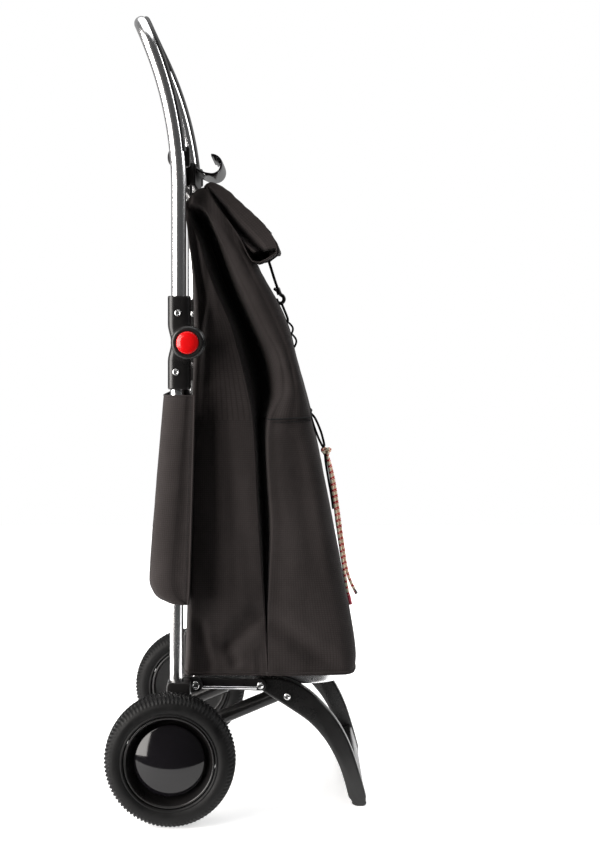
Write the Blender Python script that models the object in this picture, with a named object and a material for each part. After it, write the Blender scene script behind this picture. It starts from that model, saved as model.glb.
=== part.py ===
"""Two-wheel folding shopping trolley with a roll-top bag.

Frame: +X forward (the side the bag hangs on), +Y to the left, +Z up, origin on the
floor in the middle of the trolley. Metres throughout. "right" pieces lie at -Y.
"""

import math

import bmesh
import bpy
from mathutils import Matrix, Vector

# ---------------------------------------------------------------- driving dimensions
GAP = 0.0003                  # air between pieces that touch

WHEEL_RADIUS = 0.0825
WHEEL_Y = 0.185               # middle of each tyre
TYRE_WIDTH = 0.044
RIM_RADIUS = 0.057
CAP_RADIUS = 0.0445
AXLE_X, AXLE_Z = -0.0864, WHEEL_RADIUS
AXLE_RADIUS = 0.005
AXLE_HALF = 0.1995

TUBE_Y = 0.146                # side tubes
LOWER_TUBE_X, LOWER_TUBE_RADIUS = -0.0812, 0.0085
UPPER_TUBE_X, UPPER_TUBE_RADIUS = -0.0787, 0.0097
TUBE_WALL = 0.0013
LOWER_TUBE_Z = (0.100, 0.582)

BOW_START_Z = 0.626           # lower end of the handle tube
BOW_BEND_Z = 0.800            # where the handle starts to lean back
BOW_BEND_RADIUS = 0.50
BOW_TOP_Z = 1.0213            # middle of the grip bar
BOW_CORNER = 0.045

HINGE_X, HINGE_Z = -0.0662, 0.6041
JOINT_Z = (0.5444, 0.6637)    # both halves of a fold joint
JOINT_HALF_X, JOINT_HALF_Y = 0.0147, 0.0147
JOINT_X = -0.0777
HUB_RADIUS = 0.0215
KNUCKLE_RADIUS = 0.0205
KNUCKLE_HALF = 0.0075         # half width of the middle knuckle
CHEEK_START = 0.0083          # inner faces of the two cheeks beside it
HUB_OUT, HUB_IN = 0.0158, 0.0165   # cheek faces, measured from the tube's middle
BUTTON_RADIUS = 0.0146
BUTTON_BACK = 0.0144          # back of the button's skirt, measured from the tube's middle
BUTTON_TRAVEL = 0.0045
WELL_FLOOR = BUTTON_BACK - BUTTON_TRAVEL - GAP
HINGE_PIN_RADIUS = 0.004
RIVET_Z_UPPER, RIVET_Z_LOWER = 0.6419, 0.5668
RIVET_RADIUS, RIVET_HEAD = 0.0022, 0.0042

PIVOT_A = (-0.058, 0.162)     # base frame on the axle bracket
PIVOT_B = (0.0258, 0.1594)    # leg on the base frame
PIVOT_C = (0.0605, 0.1435)    # brace on the leg
EAR_Y = (0.1265, 0.1355)
BAR_Y = (0.1197, 0.1262)
LEG_Y = (0.1000, 0.1194)
PIVOT_RADIUS = 0.003          # shanks of the rivets at A, B and C
HOOP_Y = 0.0985               # middle of the hoop's strip
HOOP_STRIP = 0.002
HOOP_Z = (0.155, 0.169)
HOOP_REAR_X, HOOP_FRONT_X, HOOP_CORNER = -0.066, 0.141, 0.060
BRACE_Y, BRACE_RADIUS = 0.0855, 0.0095

BRIDGE_Z = (0.8086, 0.862)
BRIDGE_X = (-0.0885, -0.0607)
BRIDGE_SLACK = 0.0010         # the bridge's saddles follow the bent tube with this much air
HOOK_CENTRE, HOOK_RADIUS = (-0.0415, 0.8425), 0.0135
HOOK_HALF_WIDTH = 0.060

BAG_HALF = 0.127
BAG_WALL = 0.003
BAG_BOTTOM = 0.1725
MOUTH_REAR = (-0.0470, 0.8045)    # slanted mouth, seen from the side
MOUTH_FRONT = (0.0148, 0.7151)
POCKET_TOP = 0.504
SIDES = (("right", -1), ("left", 1))


# ------------------------------------------------------------------------ materials
def material(name, colour, roughness, metallic=0.0):
    """Principled material with one base colour."""
    mat = bpy.data.materials.new(name)
    mat.use_nodes = True
    shader = mat.node_tree.nodes["Principled BSDF"]
    shader.inputs["Base Color"].default_value = (*colour, 1.0)
    shader.inputs["Roughness"].default_value = roughness
    shader.inputs["Metallic"].default_value = metallic
    return mat


def finish(obj, mat, angle=35):
    """Give an object its own copy of a finish and shade its round faces smooth."""
    own = mat.copy()
    own.name = obj.name
    obj.data.materials.clear()
    obj.data.materials.append(own)
    obj.data.shade_smooth()
    obj.data.set_sharp_from_angle(angle=math.radians(angle))
    return obj


def from_bmesh(name, bm, mat=None):
    """Turn a bmesh into a named object with its faces pointing out."""
    bmesh.ops.recalc_face_normals(bm, faces=bm.faces)
    mesh = bpy.data.meshes.new(name)
    bm.to_mesh(mesh)
    bm.free()
    obj = bpy.data.objects.new(name, mesh)
    bpy.context.collection.objects.link(obj)
    if mat:
        finish(obj, mat)
    return obj


# --------------------------------------------------------------------- shape helpers
def arc(centre, radius, start, end, steps):
    """Points on a circle, angles in degrees, both ends included."""
    turn = [math.radians(start + (end - start) * i / steps) for i in range(steps + 1)]
    return [(centre[0] + radius * math.cos(a), centre[1] + radius * math.sin(a)) for a in turn]


def skin(bm, loops, caps=True):
    """Join rings of equal length with quads, and cap the two ends."""
    rings = [[bm.verts.new(p) for p in loop] for loop in loops]
    count = len(rings[0])
    for low, high in zip(rings, rings[1:]):
        for i in range(count):
            j = (i + 1) % count
            bm.faces.new((low[i], low[j], high[j], high[i]))
    if caps:
        bm.faces.new(rings[0])
        bm.faces.new(rings[-1])
    return rings


def prism(name, outline, y_low, y_high, mat=None):
    """An outline in X and Z, extruded along Y."""
    bm = bmesh.new()
    skin(bm, [[(x, y, z) for x, z in outline] for y in (y_low, y_high)])
    return from_bmesh(name, bm, mat)


def box(name, x, y, z, mat=None, bevel=0.0):
    """A box between two limits on each axis, its edges bevelled."""
    bm = bmesh.new()
    skin(bm, [[(x[0], y[0], k), (x[1], y[0], k), (x[1], y[1], k), (x[0], y[1], k)] for k in z])
    obj = from_bmesh(name, bm, mat)
    if bevel:
        soften(obj, bevel)
    return obj


def soften(obj, width, segments=2, angle=40):
    """Bevel every edge that is sharper than the angle."""
    mod = obj.modifiers.new("Bevel", "BEVEL")
    mod.width = width
    mod.segments = segments
    mod.limit_method = "ANGLE"
    mod.angle_limit = math.radians(angle)
    mod.use_clamp_overlap = True
    return obj


def turned(name, profile, centre, mat=None, segments=28):
    """Turn (radius, y) points about an axis along Y through centre; closed loop profile."""
    bm = bmesh.new()
    rings = []
    for radius, y in profile:
        if radius == 0:
            rings.append([bm.verts.new((centre[0], y, centre[1]))])
            continue
        ring = []
        for i in range(segments):
            a = 2 * math.pi * i / segments
            ring.append(bm.verts.new((centre[0] + radius * math.cos(a), y,
                                      centre[1] + radius * math.sin(a))))
        rings.append(ring)
    pairs = list(zip(rings, rings[1:]))
    if profile[0][0] > 0:
        pairs.append((rings[-1], rings[0]))
    for one, two in pairs:
        for i in range(segments):
            j = (i + 1) % segments
            corners = {id(v): v for v in (one[i % len(one)], one[j % len(one)],
                                          two[j % len(two)], two[i % len(two)])}
            if len(corners) > 2:
                bm.faces.new(corners.values())
    return from_bmesh(name, bm, mat)


def post(name, x, y, z_low, z_high, radius, segments=24, mat=None):
    """A round bar along Z."""
    bm = bmesh.new()
    skin(bm, [[(x + px, y + py, z) for px, py in arc((0, 0), radius, 0, 360, segments)[:-1]]
              for z in (z_low, z_high)])
    return from_bmesh(name, bm, mat)


def shaft(name, centre, radius, y_low, y_high, segments=20, mat=None):
    """A round bar along Y."""
    return prism(name, arc(centre, radius, 0, 360, segments)[:-1], y_low, y_high, mat)


def combine(obj, other, operation):
    """Boolean with a hidden second shape."""
    other.hide_render = True
    other.display_type = "WIRE"
    mod = obj.modifiers.new(other.name, "BOOLEAN")
    mod.operation = operation
    mod.solver = "EXACT"
    mod.object = other
    return obj


def cut(obj, *cutters):
    for cutter in cutters:
        combine(obj, cutter, "DIFFERENCE")
    return obj


def join(obj, *others):
    for other in others:
        combine(obj, other, "UNION")
    return obj


def rivet(name, centre, steps, mat):
    """A rivet along Y from (y, radius) steps, each radius running to the next y."""
    profile = [(0, steps[0][0])]
    for (y, radius), (y_next, _) in zip(steps, steps[1:]):
        profile += [(radius, y), (radius, y_next)]
    profile.append((0, steps[-1][0]))
    return turned(name, profile, centre, mat, segments=10)


# --------------------------------------------------------------- the handle's centreline
def lean(z):
    """X of the handle tube at a height: straight, then an arc that leans back."""
    rise = max(0.0, z - BOW_BEND_Z)
    return UPPER_TUBE_X - BOW_BEND_RADIUS + math.sqrt(BOW_BEND_RADIUS ** 2 - rise ** 2)


def along_bow(length):
    """Point and forward normal of the leaning side tube at a length above the bend."""
    a = max(0.0, length) / BOW_BEND_RADIUS
    x = UPPER_TUBE_X - BOW_BEND_RADIUS * (1 - math.cos(a))
    z = BOW_BEND_Z + BOW_BEND_RADIUS * math.sin(a) + min(0.0, length)
    return x, z, Vector((math.cos(a), 0, math.sin(a)))


def bow_route(start_z, corner_steps=5, side_steps=4):
    """Centreline of the bow as (point, forward normal) from the right side to the left."""
    top = BOW_BEND_RADIUS * math.asin((BOW_TOP_Z - BOW_BEND_Z) / BOW_BEND_RADIUS)
    low = start_z - BOW_BEND_Z if start_z < BOW_BEND_Z else (
        BOW_BEND_RADIUS * math.asin((start_z - BOW_BEND_Z) / BOW_BEND_RADIUS))
    lengths = [low] if low < 0 else []
    begin = max(0.0, low)
    lengths += [begin + (top - BOW_CORNER - begin) * i / side_steps for i in range(side_steps + 1)]
    half = [(s, TUBE_Y) for s in lengths]
    for i in range(1, corner_steps + 1):
        a = math.pi / 2 * i / corner_steps
        half.append((top - BOW_CORNER * (1 - math.sin(a)),
                     TUBE_Y - BOW_CORNER * (1 - math.cos(a))))
    route = []
    for s, y in half:
        x, z, normal = along_bow(s)
        route.append((Vector((x, -y, z)), normal))
    for s, y in reversed(half):
        x, z, normal = along_bow(s)
        route.append((Vector((x, y, z)), normal))
    return route


def sweep(name, route, section, mat=None, hole=None):
    """Sweep a (forward, sideways) section along the bow; a hole makes it a tube."""
    def rings(shape):
        made = []
        for i, (point, normal) in enumerate(route):
            before = route[max(0, i - 1)][0]
            after = route[min(len(route) - 1, i + 1)][0]
            side = normal.cross((after - before).normalized()).normalized()
            made.append([point + normal * u + side * v for u, v in shape])
        return made
    bm = bmesh.new()
    outer = skin(bm, rings(section), caps=hole is None)
    if hole:
        inner = skin(bm, rings(hole), caps=False)
        for end in (0, -1):
            for i in range(len(section)):
                j = (i + 1) % len(section)
                bm.faces.new((outer[end][i], outer[end][j], inner[end][j], inner[end][i]))
    return from_bmesh(name, bm, mat)


def mirrored(y_low, y_high, side):
    """Y limits of a piece on one side."""
    return (y_low, y_high) if side > 0 else (-y_high, -y_low)


# ---------------------------------------------------------------------- chassis, lower
def lower_tube(label, side, mats):
    y = side * TUBE_Y
    tube = post(f"lower_tube_{label}", LOWER_TUBE_X, y, *LOWER_TUBE_Z, LOWER_TUBE_RADIUS,
                mat=mats["aluminium"])
    cut(tube,
        post(f"cut_lower_tube_{label}", LOWER_TUBE_X, y, 0.05, 0.7,
             LOWER_TUBE_RADIUS - TUBE_WALL),
        shaft(f"cut_lower_tube_rivet_{label}", (LOWER_TUBE_X, RIVET_Z_LOWER),
              RIVET_RADIUS + GAP, y - 0.02, y + 0.02, 12))


def axle_bracket(label, side, mats):
    """Boot that holds the tube's foot and the axle, with an ear for the base frame."""
    y = side * TUBE_Y
    half_x, half_y, top = 0.0151, 0.0125, 0.171
    middle = -0.0783
    around = arc((AXLE_X, AXLE_Z), 0.0185, 180, 340, 8)
    outline = [(middle + half_x, top), (middle - half_x, top), *around, (middle + half_x, 0.110)]
    boot = prism(f"axle_bracket_{label}", outline, y - half_y, y + half_y, mats["plastic"])
    ear_low, ear_high = mirrored(*EAR_Y, side)
    ear_outline = [(-0.078, 0.150), *arc(PIVOT_A, 0.009, -70, 90, 6), (-0.078, top)]
    ear = prism(f"join_ear_{label}", ear_outline, ear_low, ear_high)
    join(boot, ear)
    cut(boot,
        post(f"cut_boot_{label}", LOWER_TUBE_X, y, LOWER_TUBE_Z[0] - GAP, 0.2,
             LOWER_TUBE_RADIUS + GAP),
        shaft(f"cut_boot_axle_{label}", (AXLE_X, AXLE_Z), AXLE_RADIUS + GAP, y - 0.03, y + 0.03),
        shaft(f"cut_ear_{label}", PIVOT_A, PIVOT_RADIUS + GAP,
              *mirrored(TUBE_Y - 0.03, TUBE_Y + 0.01, side), 12))


def base_bar(label, side, mats):
    """Black side bar of the base frame, from pivot A to pivot B."""
    outline = [*arc(PIVOT_A, 0.0068, 92, 268, 8), *arc(PIVOT_B, 0.0072, -92, 92, 8)]
    bar = prism(f"base_bar_{label}", outline, *mirrored(*BAR_Y, side), mats["plastic"])
    for letter, pivot in (("a", PIVOT_A), ("b", PIVOT_B)):
        cut(bar, shaft(f"cut_bar_{letter}_{label}", pivot, PIVOT_RADIUS + GAP,
                       *mirrored(0.11, 0.14, side), 12))


def base_hoop(mats):
    """Aluminium strip bent to a U, which carries the bag's floor."""
    def plan(offset):
        y, front, corner = HOOP_Y + offset, HOOP_FRONT_X + offset, HOOP_CORNER + offset
        centre_x, centre_y = front - corner, y - corner
        half = [(HOOP_REAR_X, -y)]
        half += [(px, -py) for px, py in arc((centre_x, centre_y), corner, 90, 0, 8)]
        return half + [(x, -yy) for x, yy in reversed(half)]
    half_strip = HOOP_STRIP / 2
    loop = plan(half_strip) + list(reversed(plan(-half_strip)))
    bm = bmesh.new()
    skin(bm, [[(x, y, z) for x, y in loop] for z in HOOP_Z])
    hoop = from_bmesh("base_hoop", bm, mats["aluminium"])
    for label, side in SIDES:
        for letter, pivot in (("a", PIVOT_A), ("b", PIVOT_B)):
            cut(hoop, shaft(f"cut_hoop_{letter}_{label}", pivot, PIVOT_RADIUS + GAP,
                            *mirrored(0.09, 0.11, side), 12))


def leg(label, side, mats):
    """Curved front leg, wide at its pivot and narrow at the foot."""
    front = [(0.0686, 0.1611), (0.0891, 0.1493), (0.1099, 0.1297), (0.1257, 0.1101),
             (0.1372, 0.0905), (0.1457, 0.0709), (0.1522, 0.0513), (0.1580, 0.0317),
             (0.1633, 0.0121), (0.1655, 0.0040), (0.1620, 0.0)]
    back = [(0.1520, 0.0), (0.1430, 0.0040), (0.1401, 0.0121), (0.1350, 0.0317),
            (0.1285, 0.0513), (0.1192, 0.0709), (0.1066, 0.0905), (0.0883, 0.1101),
            (0.0598, 0.1297), (0.0349, 0.1454), (0.0209, 0.1552)]
    top = [*arc(PIVOT_B, 0.0072, 220, 95, 4), (0.0500, 0.1665)]
    plate = prism(f"leg_{label}", front + back + top, *mirrored(*LEG_Y, side), mats["plastic"])
    for letter, pivot in (("b", PIVOT_B), ("c", PIVOT_C)):
        cut(plate, shaft(f"cut_leg_{letter}_{label}", pivot, PIVOT_RADIUS + GAP,
                         *mirrored(0.09, 0.13, side), 12))


def foot_bar(mats):
    """Cross bar between the two feet; its flat underside rests on the floor."""
    outline = [(0.1606, 0.0), (0.1626, 0.0060), (0.1600, 0.0200), (0.1530, 0.0420),
               (0.1500, 0.0450), (0.1370, 0.0400), (0.1370, 0.0310), (0.1430, 0.0060),
               (0.1470, 0.0)]
    prism("foot_bar", outline, GAP - LEG_Y[0], LEG_Y[0] - GAP, mats["plastic"])


def brace(label, side, mats):
    """Round brace that swings on the axle and steadies the leg."""
    low, high = mirrored(BRACE_Y - BRACE_RADIUS, BRACE_Y + BRACE_RADIUS, side)
    start, end = Vector((AXLE_X, 0, AXLE_Z)), Vector((PIVOT_C[0], 0, PIVOT_C[1]))
    run = end - start
    obj = shaft(f"brace_{label}", (AXLE_X, AXLE_Z), 0.0105, low, high, 24, mats["plastic"])
    rod = post(f"join_brace_{label}", 0, 0, 0, run.length, BRACE_RADIUS - 0.0002, 16)
    rod.matrix_world = (Matrix.Translation(start + Vector((0, side * BRACE_Y, 0)))
                        @ Vector((0, 0, 1)).rotation_difference(run).to_matrix().to_4x4())
    join(obj, rod, shaft(f"join_brace_end_{label}", PIVOT_C, 0.0100, low, high, 24))
    cut(obj, shaft(f"cut_brace_{label}", (AXLE_X, AXLE_Z), AXLE_RADIUS + GAP,
                   *mirrored(0.06, 0.11, side)))


def base_rivets(label, side, mats):
    """Pivot rivets: A in the bracket's ear, B through the leg, C on the leg."""
    def placed(name, centre, steps):
        rivet(name, centre, [(side * y, radius) for y, radius in steps], mats["steel"])
    inner = HOOP_Y - HOOP_STRIP / 2 - GAP
    outer = HOOP_Y + HOOP_STRIP / 2 + GAP
    placed(f"pivot_rivet_a_{label}", PIVOT_A,
           [(inner - 0.0017, 0.0045), (inner, PIVOT_RADIUS), (outer, 0.0055),
            (BAR_Y[0] - GAP, PIVOT_RADIUS), (EAR_Y[1] + GAP, 0.0052), (EAR_Y[1] + 0.0022, 0.0)])
    placed(f"pivot_rivet_b_{label}", PIVOT_B,
           [(inner - 0.0017, 0.0045), (inner, PIVOT_RADIUS), (BAR_Y[1] + GAP, 0.0045),
            (BAR_Y[1] + 0.0020, 0.0)])
    placed(f"pivot_rivet_c_{label}", PIVOT_C,
           [(BRACE_Y + BRACE_RADIUS + 2 * GAP, 0.0055), (LEG_Y[0] - GAP, PIVOT_RADIUS),
            (LEG_Y[1] + GAP, 0.0045), (LEG_Y[1] + 0.0020, 0.0)])


# --------------------------------------------------------------------------- wheels
def wheel(label, side, mats):
    """Tyre, rim, domed cap and bush, all turned about the axle."""
    def placed(name, profile, mat, segments=28):
        points = [(radius, side * (WHEEL_Y + y)) for radius, y in profile]
        turned(f"{name}_{label}", points, (AXLE_X, AXLE_Z), mats[mat], segments)
    half = TYRE_WIDTH / 2
    placed("tyre", [(RIM_RADIUS + GAP, -half + 0.003), (0.0660, -half), (0.0790, -half + 0.005),
                    (WHEEL_RADIUS, -0.010), (WHEEL_RADIUS, 0.010), (0.0790, half - 0.005),
                    (0.0660, half), (RIM_RADIUS + GAP, half - 0.003)], "tyre")
    placed("rim", [(0.0088, -0.0195), (0.0170, -0.0195), (0.0170, -0.0060), (0.0520, -0.0060),
                   (0.0540, -0.0180), (RIM_RADIUS, -0.0180), (RIM_RADIUS, 0.0180),
                   (0.0530, 0.0180), (0.0460, 0.0), (0.0170, 0.0), (0.0170, 0.0095),
                   (0.0088, 0.0095)], "plastic")
    placed("hub_cap", [(0, 0.0172), (0.0330, 0.0115), (0.0415, 0.0050), (0.0415, 0.0012),
                       (CAP_RADIUS, 0.0012), (CAP_RADIUS, 0.0070), (0.0350, 0.0140),
                       (0.0200, 0.0190), (0, 0.0205)], "gloss")
    placed("wheel_bush", [(AXLE_RADIUS + GAP, -0.0195), (0.0085, -0.0195), (0.0085, 0.0095),
                          (AXLE_RADIUS + GAP, 0.0095)], "nylon", 16)


# ----------------------------------------------------------------------- fold joints
def joint_sleeve(name, side, z_low, z_high, mat):
    """Rounded block that takes the end of a tube."""
    y = side * TUBE_Y
    radius, outline = 0.0085, []
    for sx, sy, start in ((1, 1, 0), (-1, 1, 90), (-1, -1, 180), (1, -1, 270)):
        outline += arc((JOINT_X + sx * (JOINT_HALF_X - radius), y + sy * (JOINT_HALF_Y - radius)),
                       radius, start, start + 90, 3)
    bm = bmesh.new()
    skin(bm, [[(px, py, z) for px, py in outline] for z in (z_low, z_high)])
    return from_bmesh(name, bm, mat)


def fold_joint(label, side, mats):
    """Both halves of the fold joint, its pin, rivets, release button and spring."""
    y = side * TUBE_Y
    hinge = (HINGE_X, HINGE_Z)
    slot = KNUCKLE_HALF + GAP

    def at(inner, outer):
        """Y limits from offsets towards the outside of the trolley."""
        return tuple(sorted((y + side * inner, y + side * outer)))

    lower = joint_sleeve(f"fold_joint_lower_{label}", side, JOINT_Z[0], HINGE_Z - 0.0005,
                         mats["plastic"])
    join(lower, shaft(f"join_knuckle_{label}", hinge, KNUCKLE_RADIUS,
                      *at(-KNUCKLE_HALF, KNUCKLE_HALF), 28))
    cut(lower,
        shaft(f"cut_cheek_in_{label}", hinge, HUB_RADIUS + GAP, *at(-0.03, -KNUCKLE_HALF), 28),
        shaft(f"cut_cheek_out_{label}", hinge, HUB_RADIUS + GAP, *at(KNUCKLE_HALF, 0.03), 28),
        post(f"cut_joint_lower_{label}", LOWER_TUBE_X, y, 0.5, LOWER_TUBE_Z[1] + GAP,
             LOWER_TUBE_RADIUS + GAP, 16),
        shaft(f"cut_knuckle_pin_{label}", hinge, HINGE_PIN_RADIUS + GAP, *at(-0.03, 0.03), 16),
        shaft(f"cut_lower_rivet_{label}", (LOWER_TUBE_X, RIVET_Z_LOWER), RIVET_RADIUS + GAP,
              *at(-0.03, 0.03), 12))

    upper = joint_sleeve(f"fold_joint_upper_{label}", side, HINGE_Z + 0.0005, JOINT_Z[1],
                         mats["plastic"])
    cheek_out = turned(f"join_cheek_out_{label}",
                       [(0, y + side * CHEEK_START), (HUB_RADIUS, y + side * CHEEK_START),
                        (HUB_RADIUS, y + side * HUB_OUT), (0.0181, y + side * (HUB_OUT + 0.003)),
                        (0, y + side * (HUB_OUT + 0.003))], hinge)
    join(upper, cheek_out,
         shaft(f"join_cheek_in_{label}", hinge, HUB_RADIUS, *at(-HUB_IN, -CHEEK_START), 28))
    cut(upper,
        shaft(f"cut_slot_{label}", hinge, KNUCKLE_RADIUS + GAP, *at(-slot, slot), 28),
        shaft(f"cut_button_well_{label}", hinge, BUTTON_RADIUS + GAP, *at(WELL_FLOOR, 0.03), 28),
        post(f"cut_joint_upper_{label}", UPPER_TUBE_X, y, BOW_START_Z - GAP, 0.7,
             UPPER_TUBE_RADIUS + GAP, 16),
        shaft(f"cut_cheek_pin_{label}", hinge, HINGE_PIN_RADIUS + GAP, *at(-0.03, 0.02), 16),
        shaft(f"cut_upper_rivet_{label}", (UPPER_TUBE_X, RIVET_Z_UPPER), RIVET_RADIUS + GAP,
              *at(-0.03, 0.03), 12))

    def placed(name, centre, steps, mat="steel"):
        rivet(f"{name}_{label}", centre, [(y + side * d, radius) for d, radius in steps],
              mats[mat])
    half = JOINT_HALF_Y + GAP
    for name, x, z in (("joint_rivet_upper", UPPER_TUBE_X, RIVET_Z_UPPER),
                       ("joint_rivet_lower", LOWER_TUBE_X, RIVET_Z_LOWER)):
        placed(name, (x, z), [(-half - 0.0014, RIVET_HEAD), (-half, RIVET_RADIUS),
                              (half, RIVET_HEAD), (half + 0.0014, 0.0)])
    placed("hinge_pin", hinge, [(-HUB_IN - GAP - 0.0015, 0.0065),
                                (-HUB_IN - GAP, HINGE_PIN_RADIUS), (WELL_FLOOR - 0.0005, 0.0)])
    face = BUTTON_BACK
    turned(f"button_{label}",
           [(radius, y + side * d) for radius, d in
            ((0, face + 0.0032), (0.0095, face + 0.0032), (0.0095, face), (BUTTON_RADIUS, face),
             (BUTTON_RADIUS, face + 0.0042), (0.0125, face + 0.0062), (0.0070, face + 0.0070),
             (0, face + 0.0072))], hinge, mats["red"])
    button_spring(label, side, mats)


def button_spring(label, side, mats):
    """Small coil spring that pushes the button out."""
    turns, per_turn, radius, wire = 2.5, 10, 0.0068, 0.0005
    start, length = 0.0106, 0.0060
    curve = bpy.data.curves.new(f"button_spring_{label}", "CURVE")
    curve.dimensions = "3D"
    curve.bevel_depth = wire
    curve.bevel_resolution = 1
    curve.use_fill_caps = True
    count = int(turns * per_turn) + 1
    spline = curve.splines.new("POLY")
    spline.points.add(count - 1)
    for i, point in enumerate(spline.points):
        a = 2 * math.pi * i / per_turn
        away = side * (TUBE_Y + start + length * i / (count - 1))
        point.co = (HINGE_X + radius * math.cos(a), away, HINGE_Z + radius * math.sin(a), 1)
    curve.materials.append(mats["steel"])
    spring = bpy.data.objects.new(f"button_spring_{label}", curve)
    bpy.context.collection.objects.link(spring)


# ---------------------------------------------------------------------------- handle
def handle(mats):
    """Bow tube, the black strip on its front, and the bridge with its hook."""
    sides = 12
    circle = arc((0, 0), UPPER_TUBE_RADIUS, 0, 360, sides)[:-1]
    bore = arc((0, 0), UPPER_TUBE_RADIUS - TUBE_WALL, 0, 360, sides)[:-1]
    tube = sweep("handle_tube", bow_route(BOW_START_Z), circle, mats["aluminium"], hole=bore)
    for label, side in SIDES:
        cut(tube, shaft(f"cut_handle_rivet_{label}", (UPPER_TUBE_X, RIVET_Z_UPPER),
                        RIVET_RADIUS + GAP, side * TUBE_Y - 0.02, side * TUBE_Y + 0.02, 12))
    inner, outer = UPPER_TUBE_RADIUS + 2 * GAP, UPPER_TUBE_RADIUS + 0.0028
    strip = arc((0, 0), outer, -50, 50, 4) + arc((0, 0), inner, 50, -50, 4)
    sweep("grip_strip", bow_route(BRIDGE_Z[1] + 0.002), strip, mats["rubber"])

    bridge = box("bridge", BRIDGE_X, (-TUBE_Y + 0.002, TUBE_Y - 0.002), BRIDGE_Z,
                 mats["plastic"], bevel=0.003)
    for label, side in SIDES:
        bump = prism(f"join_bridge_{label}",
                     [(x, z) for x, z in arc((0, 0), 1, 0, 360, 16)[:-1]],
                     *mirrored(0.112, 0.128, side))
        for vertex in bump.data.vertices:
            vertex.co.x = -0.0870 + 0.0082 * vertex.co.x
            vertex.co.z = 0.8445 + 0.0125 * vertex.co.z
        join(bridge, bump)
        circle_cut = arc((0, 0), UPPER_TUBE_RADIUS + BRIDGE_SLACK, 0, 360, 20)[:-1]
        bm = bmesh.new()
        heights = [BRIDGE_Z[0] - 0.02 + 0.0175 * i for i in range(6)]
        skin(bm, [[(lean(z) + u, side * TUBE_Y + v, z) for u, v in circle_cut]
                  for z in heights])
        cut(bridge, from_bmesh(f"cut_bridge_{label}", bm))

    half = 0.0016
    centre = HOOK_CENTRE
    root = (BRIDGE_X[1] + GAP, 0.8350)
    under = arc(centre, HOOK_RADIUS + half, -112, 95, 14)
    inside = arc(centre, HOOK_RADIUS - half, 95, -112, 14)
    outline = [root, *under, *inside, (root[0], root[1] + 0.0090)]
    hook = prism("trolley_hook", outline, -HOOK_HALF_WIDTH, HOOK_HALF_WIDTH, mats["plastic"])
    soften(hook, 0.0006, segments=1, angle=60)

    for label, side in SIDES:
        box(f"bag_hanger_{label}", (-0.0668, -0.0640), mirrored(0.100, 0.126, side),
            (0.7945, BRIDGE_Z[0] - GAP), mats["webbing"], bevel=0.0006)


# -------------------------------------------------------------------------------- bag
def bag_front(z):
    """X of the bag's front face, seen from the side."""
    bottom, pocket, top = 0.1515, 0.0918, 0.0148
    if z < POCKET_TOP:
        t = (POCKET_TOP - z) / (POCKET_TOP - BAG_BOTTOM)
        return pocket + (bottom - pocket) * (1.35 * t - 0.35 * t * t) - 0.0036
    t = (z - POCKET_TOP) / (MOUTH_FRONT[1] - POCKET_TOP)
    return pocket + (top - pocket) * (0.72 * t + 0.28 * t * t)


def bag_rear(z):
    """X of the bag's rear face: against the tubes, leaning clear of the fold joints."""
    if z < 0.64:
        t = (z - BAG_BOTTOM) / (0.64 - BAG_BOTTOM)
        return -0.0710 + 0.0095 * t * t
    if z < 0.7818:
        t = (z - 0.64) / (0.7818 - 0.64)
        return -0.0615 - 0.0118 * t * t
    return -0.0733 + 0.0263 * (z - 0.7818) / (MOUTH_REAR[1] - 0.7818)


def bag_ring(z, inset):
    """Plan outline of the bag at a height, a rounded rectangle."""
    rear, front = bag_rear(z) + inset, max(bag_front(z), bag_rear(z) + 0.012) - inset
    half = BAG_HALF - inset
    radius = min(0.024 - inset, 0.45 * (front - rear))
    points = []
    for cx, cy, start in ((front - radius, half - radius, 0), (rear + radius, half - radius, 90),
                          (rear + radius, radius - half, 180),
                          (front - radius, radius - half, 270)):
        points += [(x, y, z) for x, y in arc((cx, cy), radius, start, start + 90, 3)]
    return points


def bag_body(mats):
    """Fabric body: a shell with a floor and a slanted mouth under the roll top."""
    levels = [BAG_BOTTOM, 0.24, 0.32, 0.41, POCKET_TOP - 0.001, POCKET_TOP, 0.57, 0.63, 0.68,
              0.73, 0.7818, 0.800]
    inner_levels = [BAG_BOTTOM + BAG_WALL, *levels[1:]]
    bm = bmesh.new()
    outer = skin(bm, [bag_ring(z, 0) for z in levels], caps=False)
    inner = skin(bm, [bag_ring(z, BAG_WALL) for z in inner_levels], caps=False)
    bm.faces.new(outer[0])
    bm.faces.new(inner[0])
    count = len(outer[0])
    for i in range(count):
        j = (i + 1) % count
        bm.faces.new((outer[-1][i], outer[-1][j], inner[-1][j], inner[-1][i]))
    bag = from_bmesh("bag_body", bm, mats["fabric"])
    (x0, z0), (x1, z1) = MOUTH_REAR, MOUTH_FRONT
    dx, dz = (x1 - x0), (z1 - z0)
    above = [(x0 - dx, z0 - dz), (x1 + dx, z1 + dz), (x1 + dx + 0.2, z1 + 0.25),
             (x0 + 0.1, z0 + 0.25)]
    cut(bag, prism("cut_mouth", above, -0.2, 0.2))


def base_board(mats):
    """Stiff board on the bag's floor."""
    z = BAG_BOTTOM + BAG_WALL + 2 * GAP
    box("base_board", (-0.062, 0.128), (-0.104, 0.104), (z, z + 0.003), mats["board"],
        bevel=0.0006)


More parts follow.
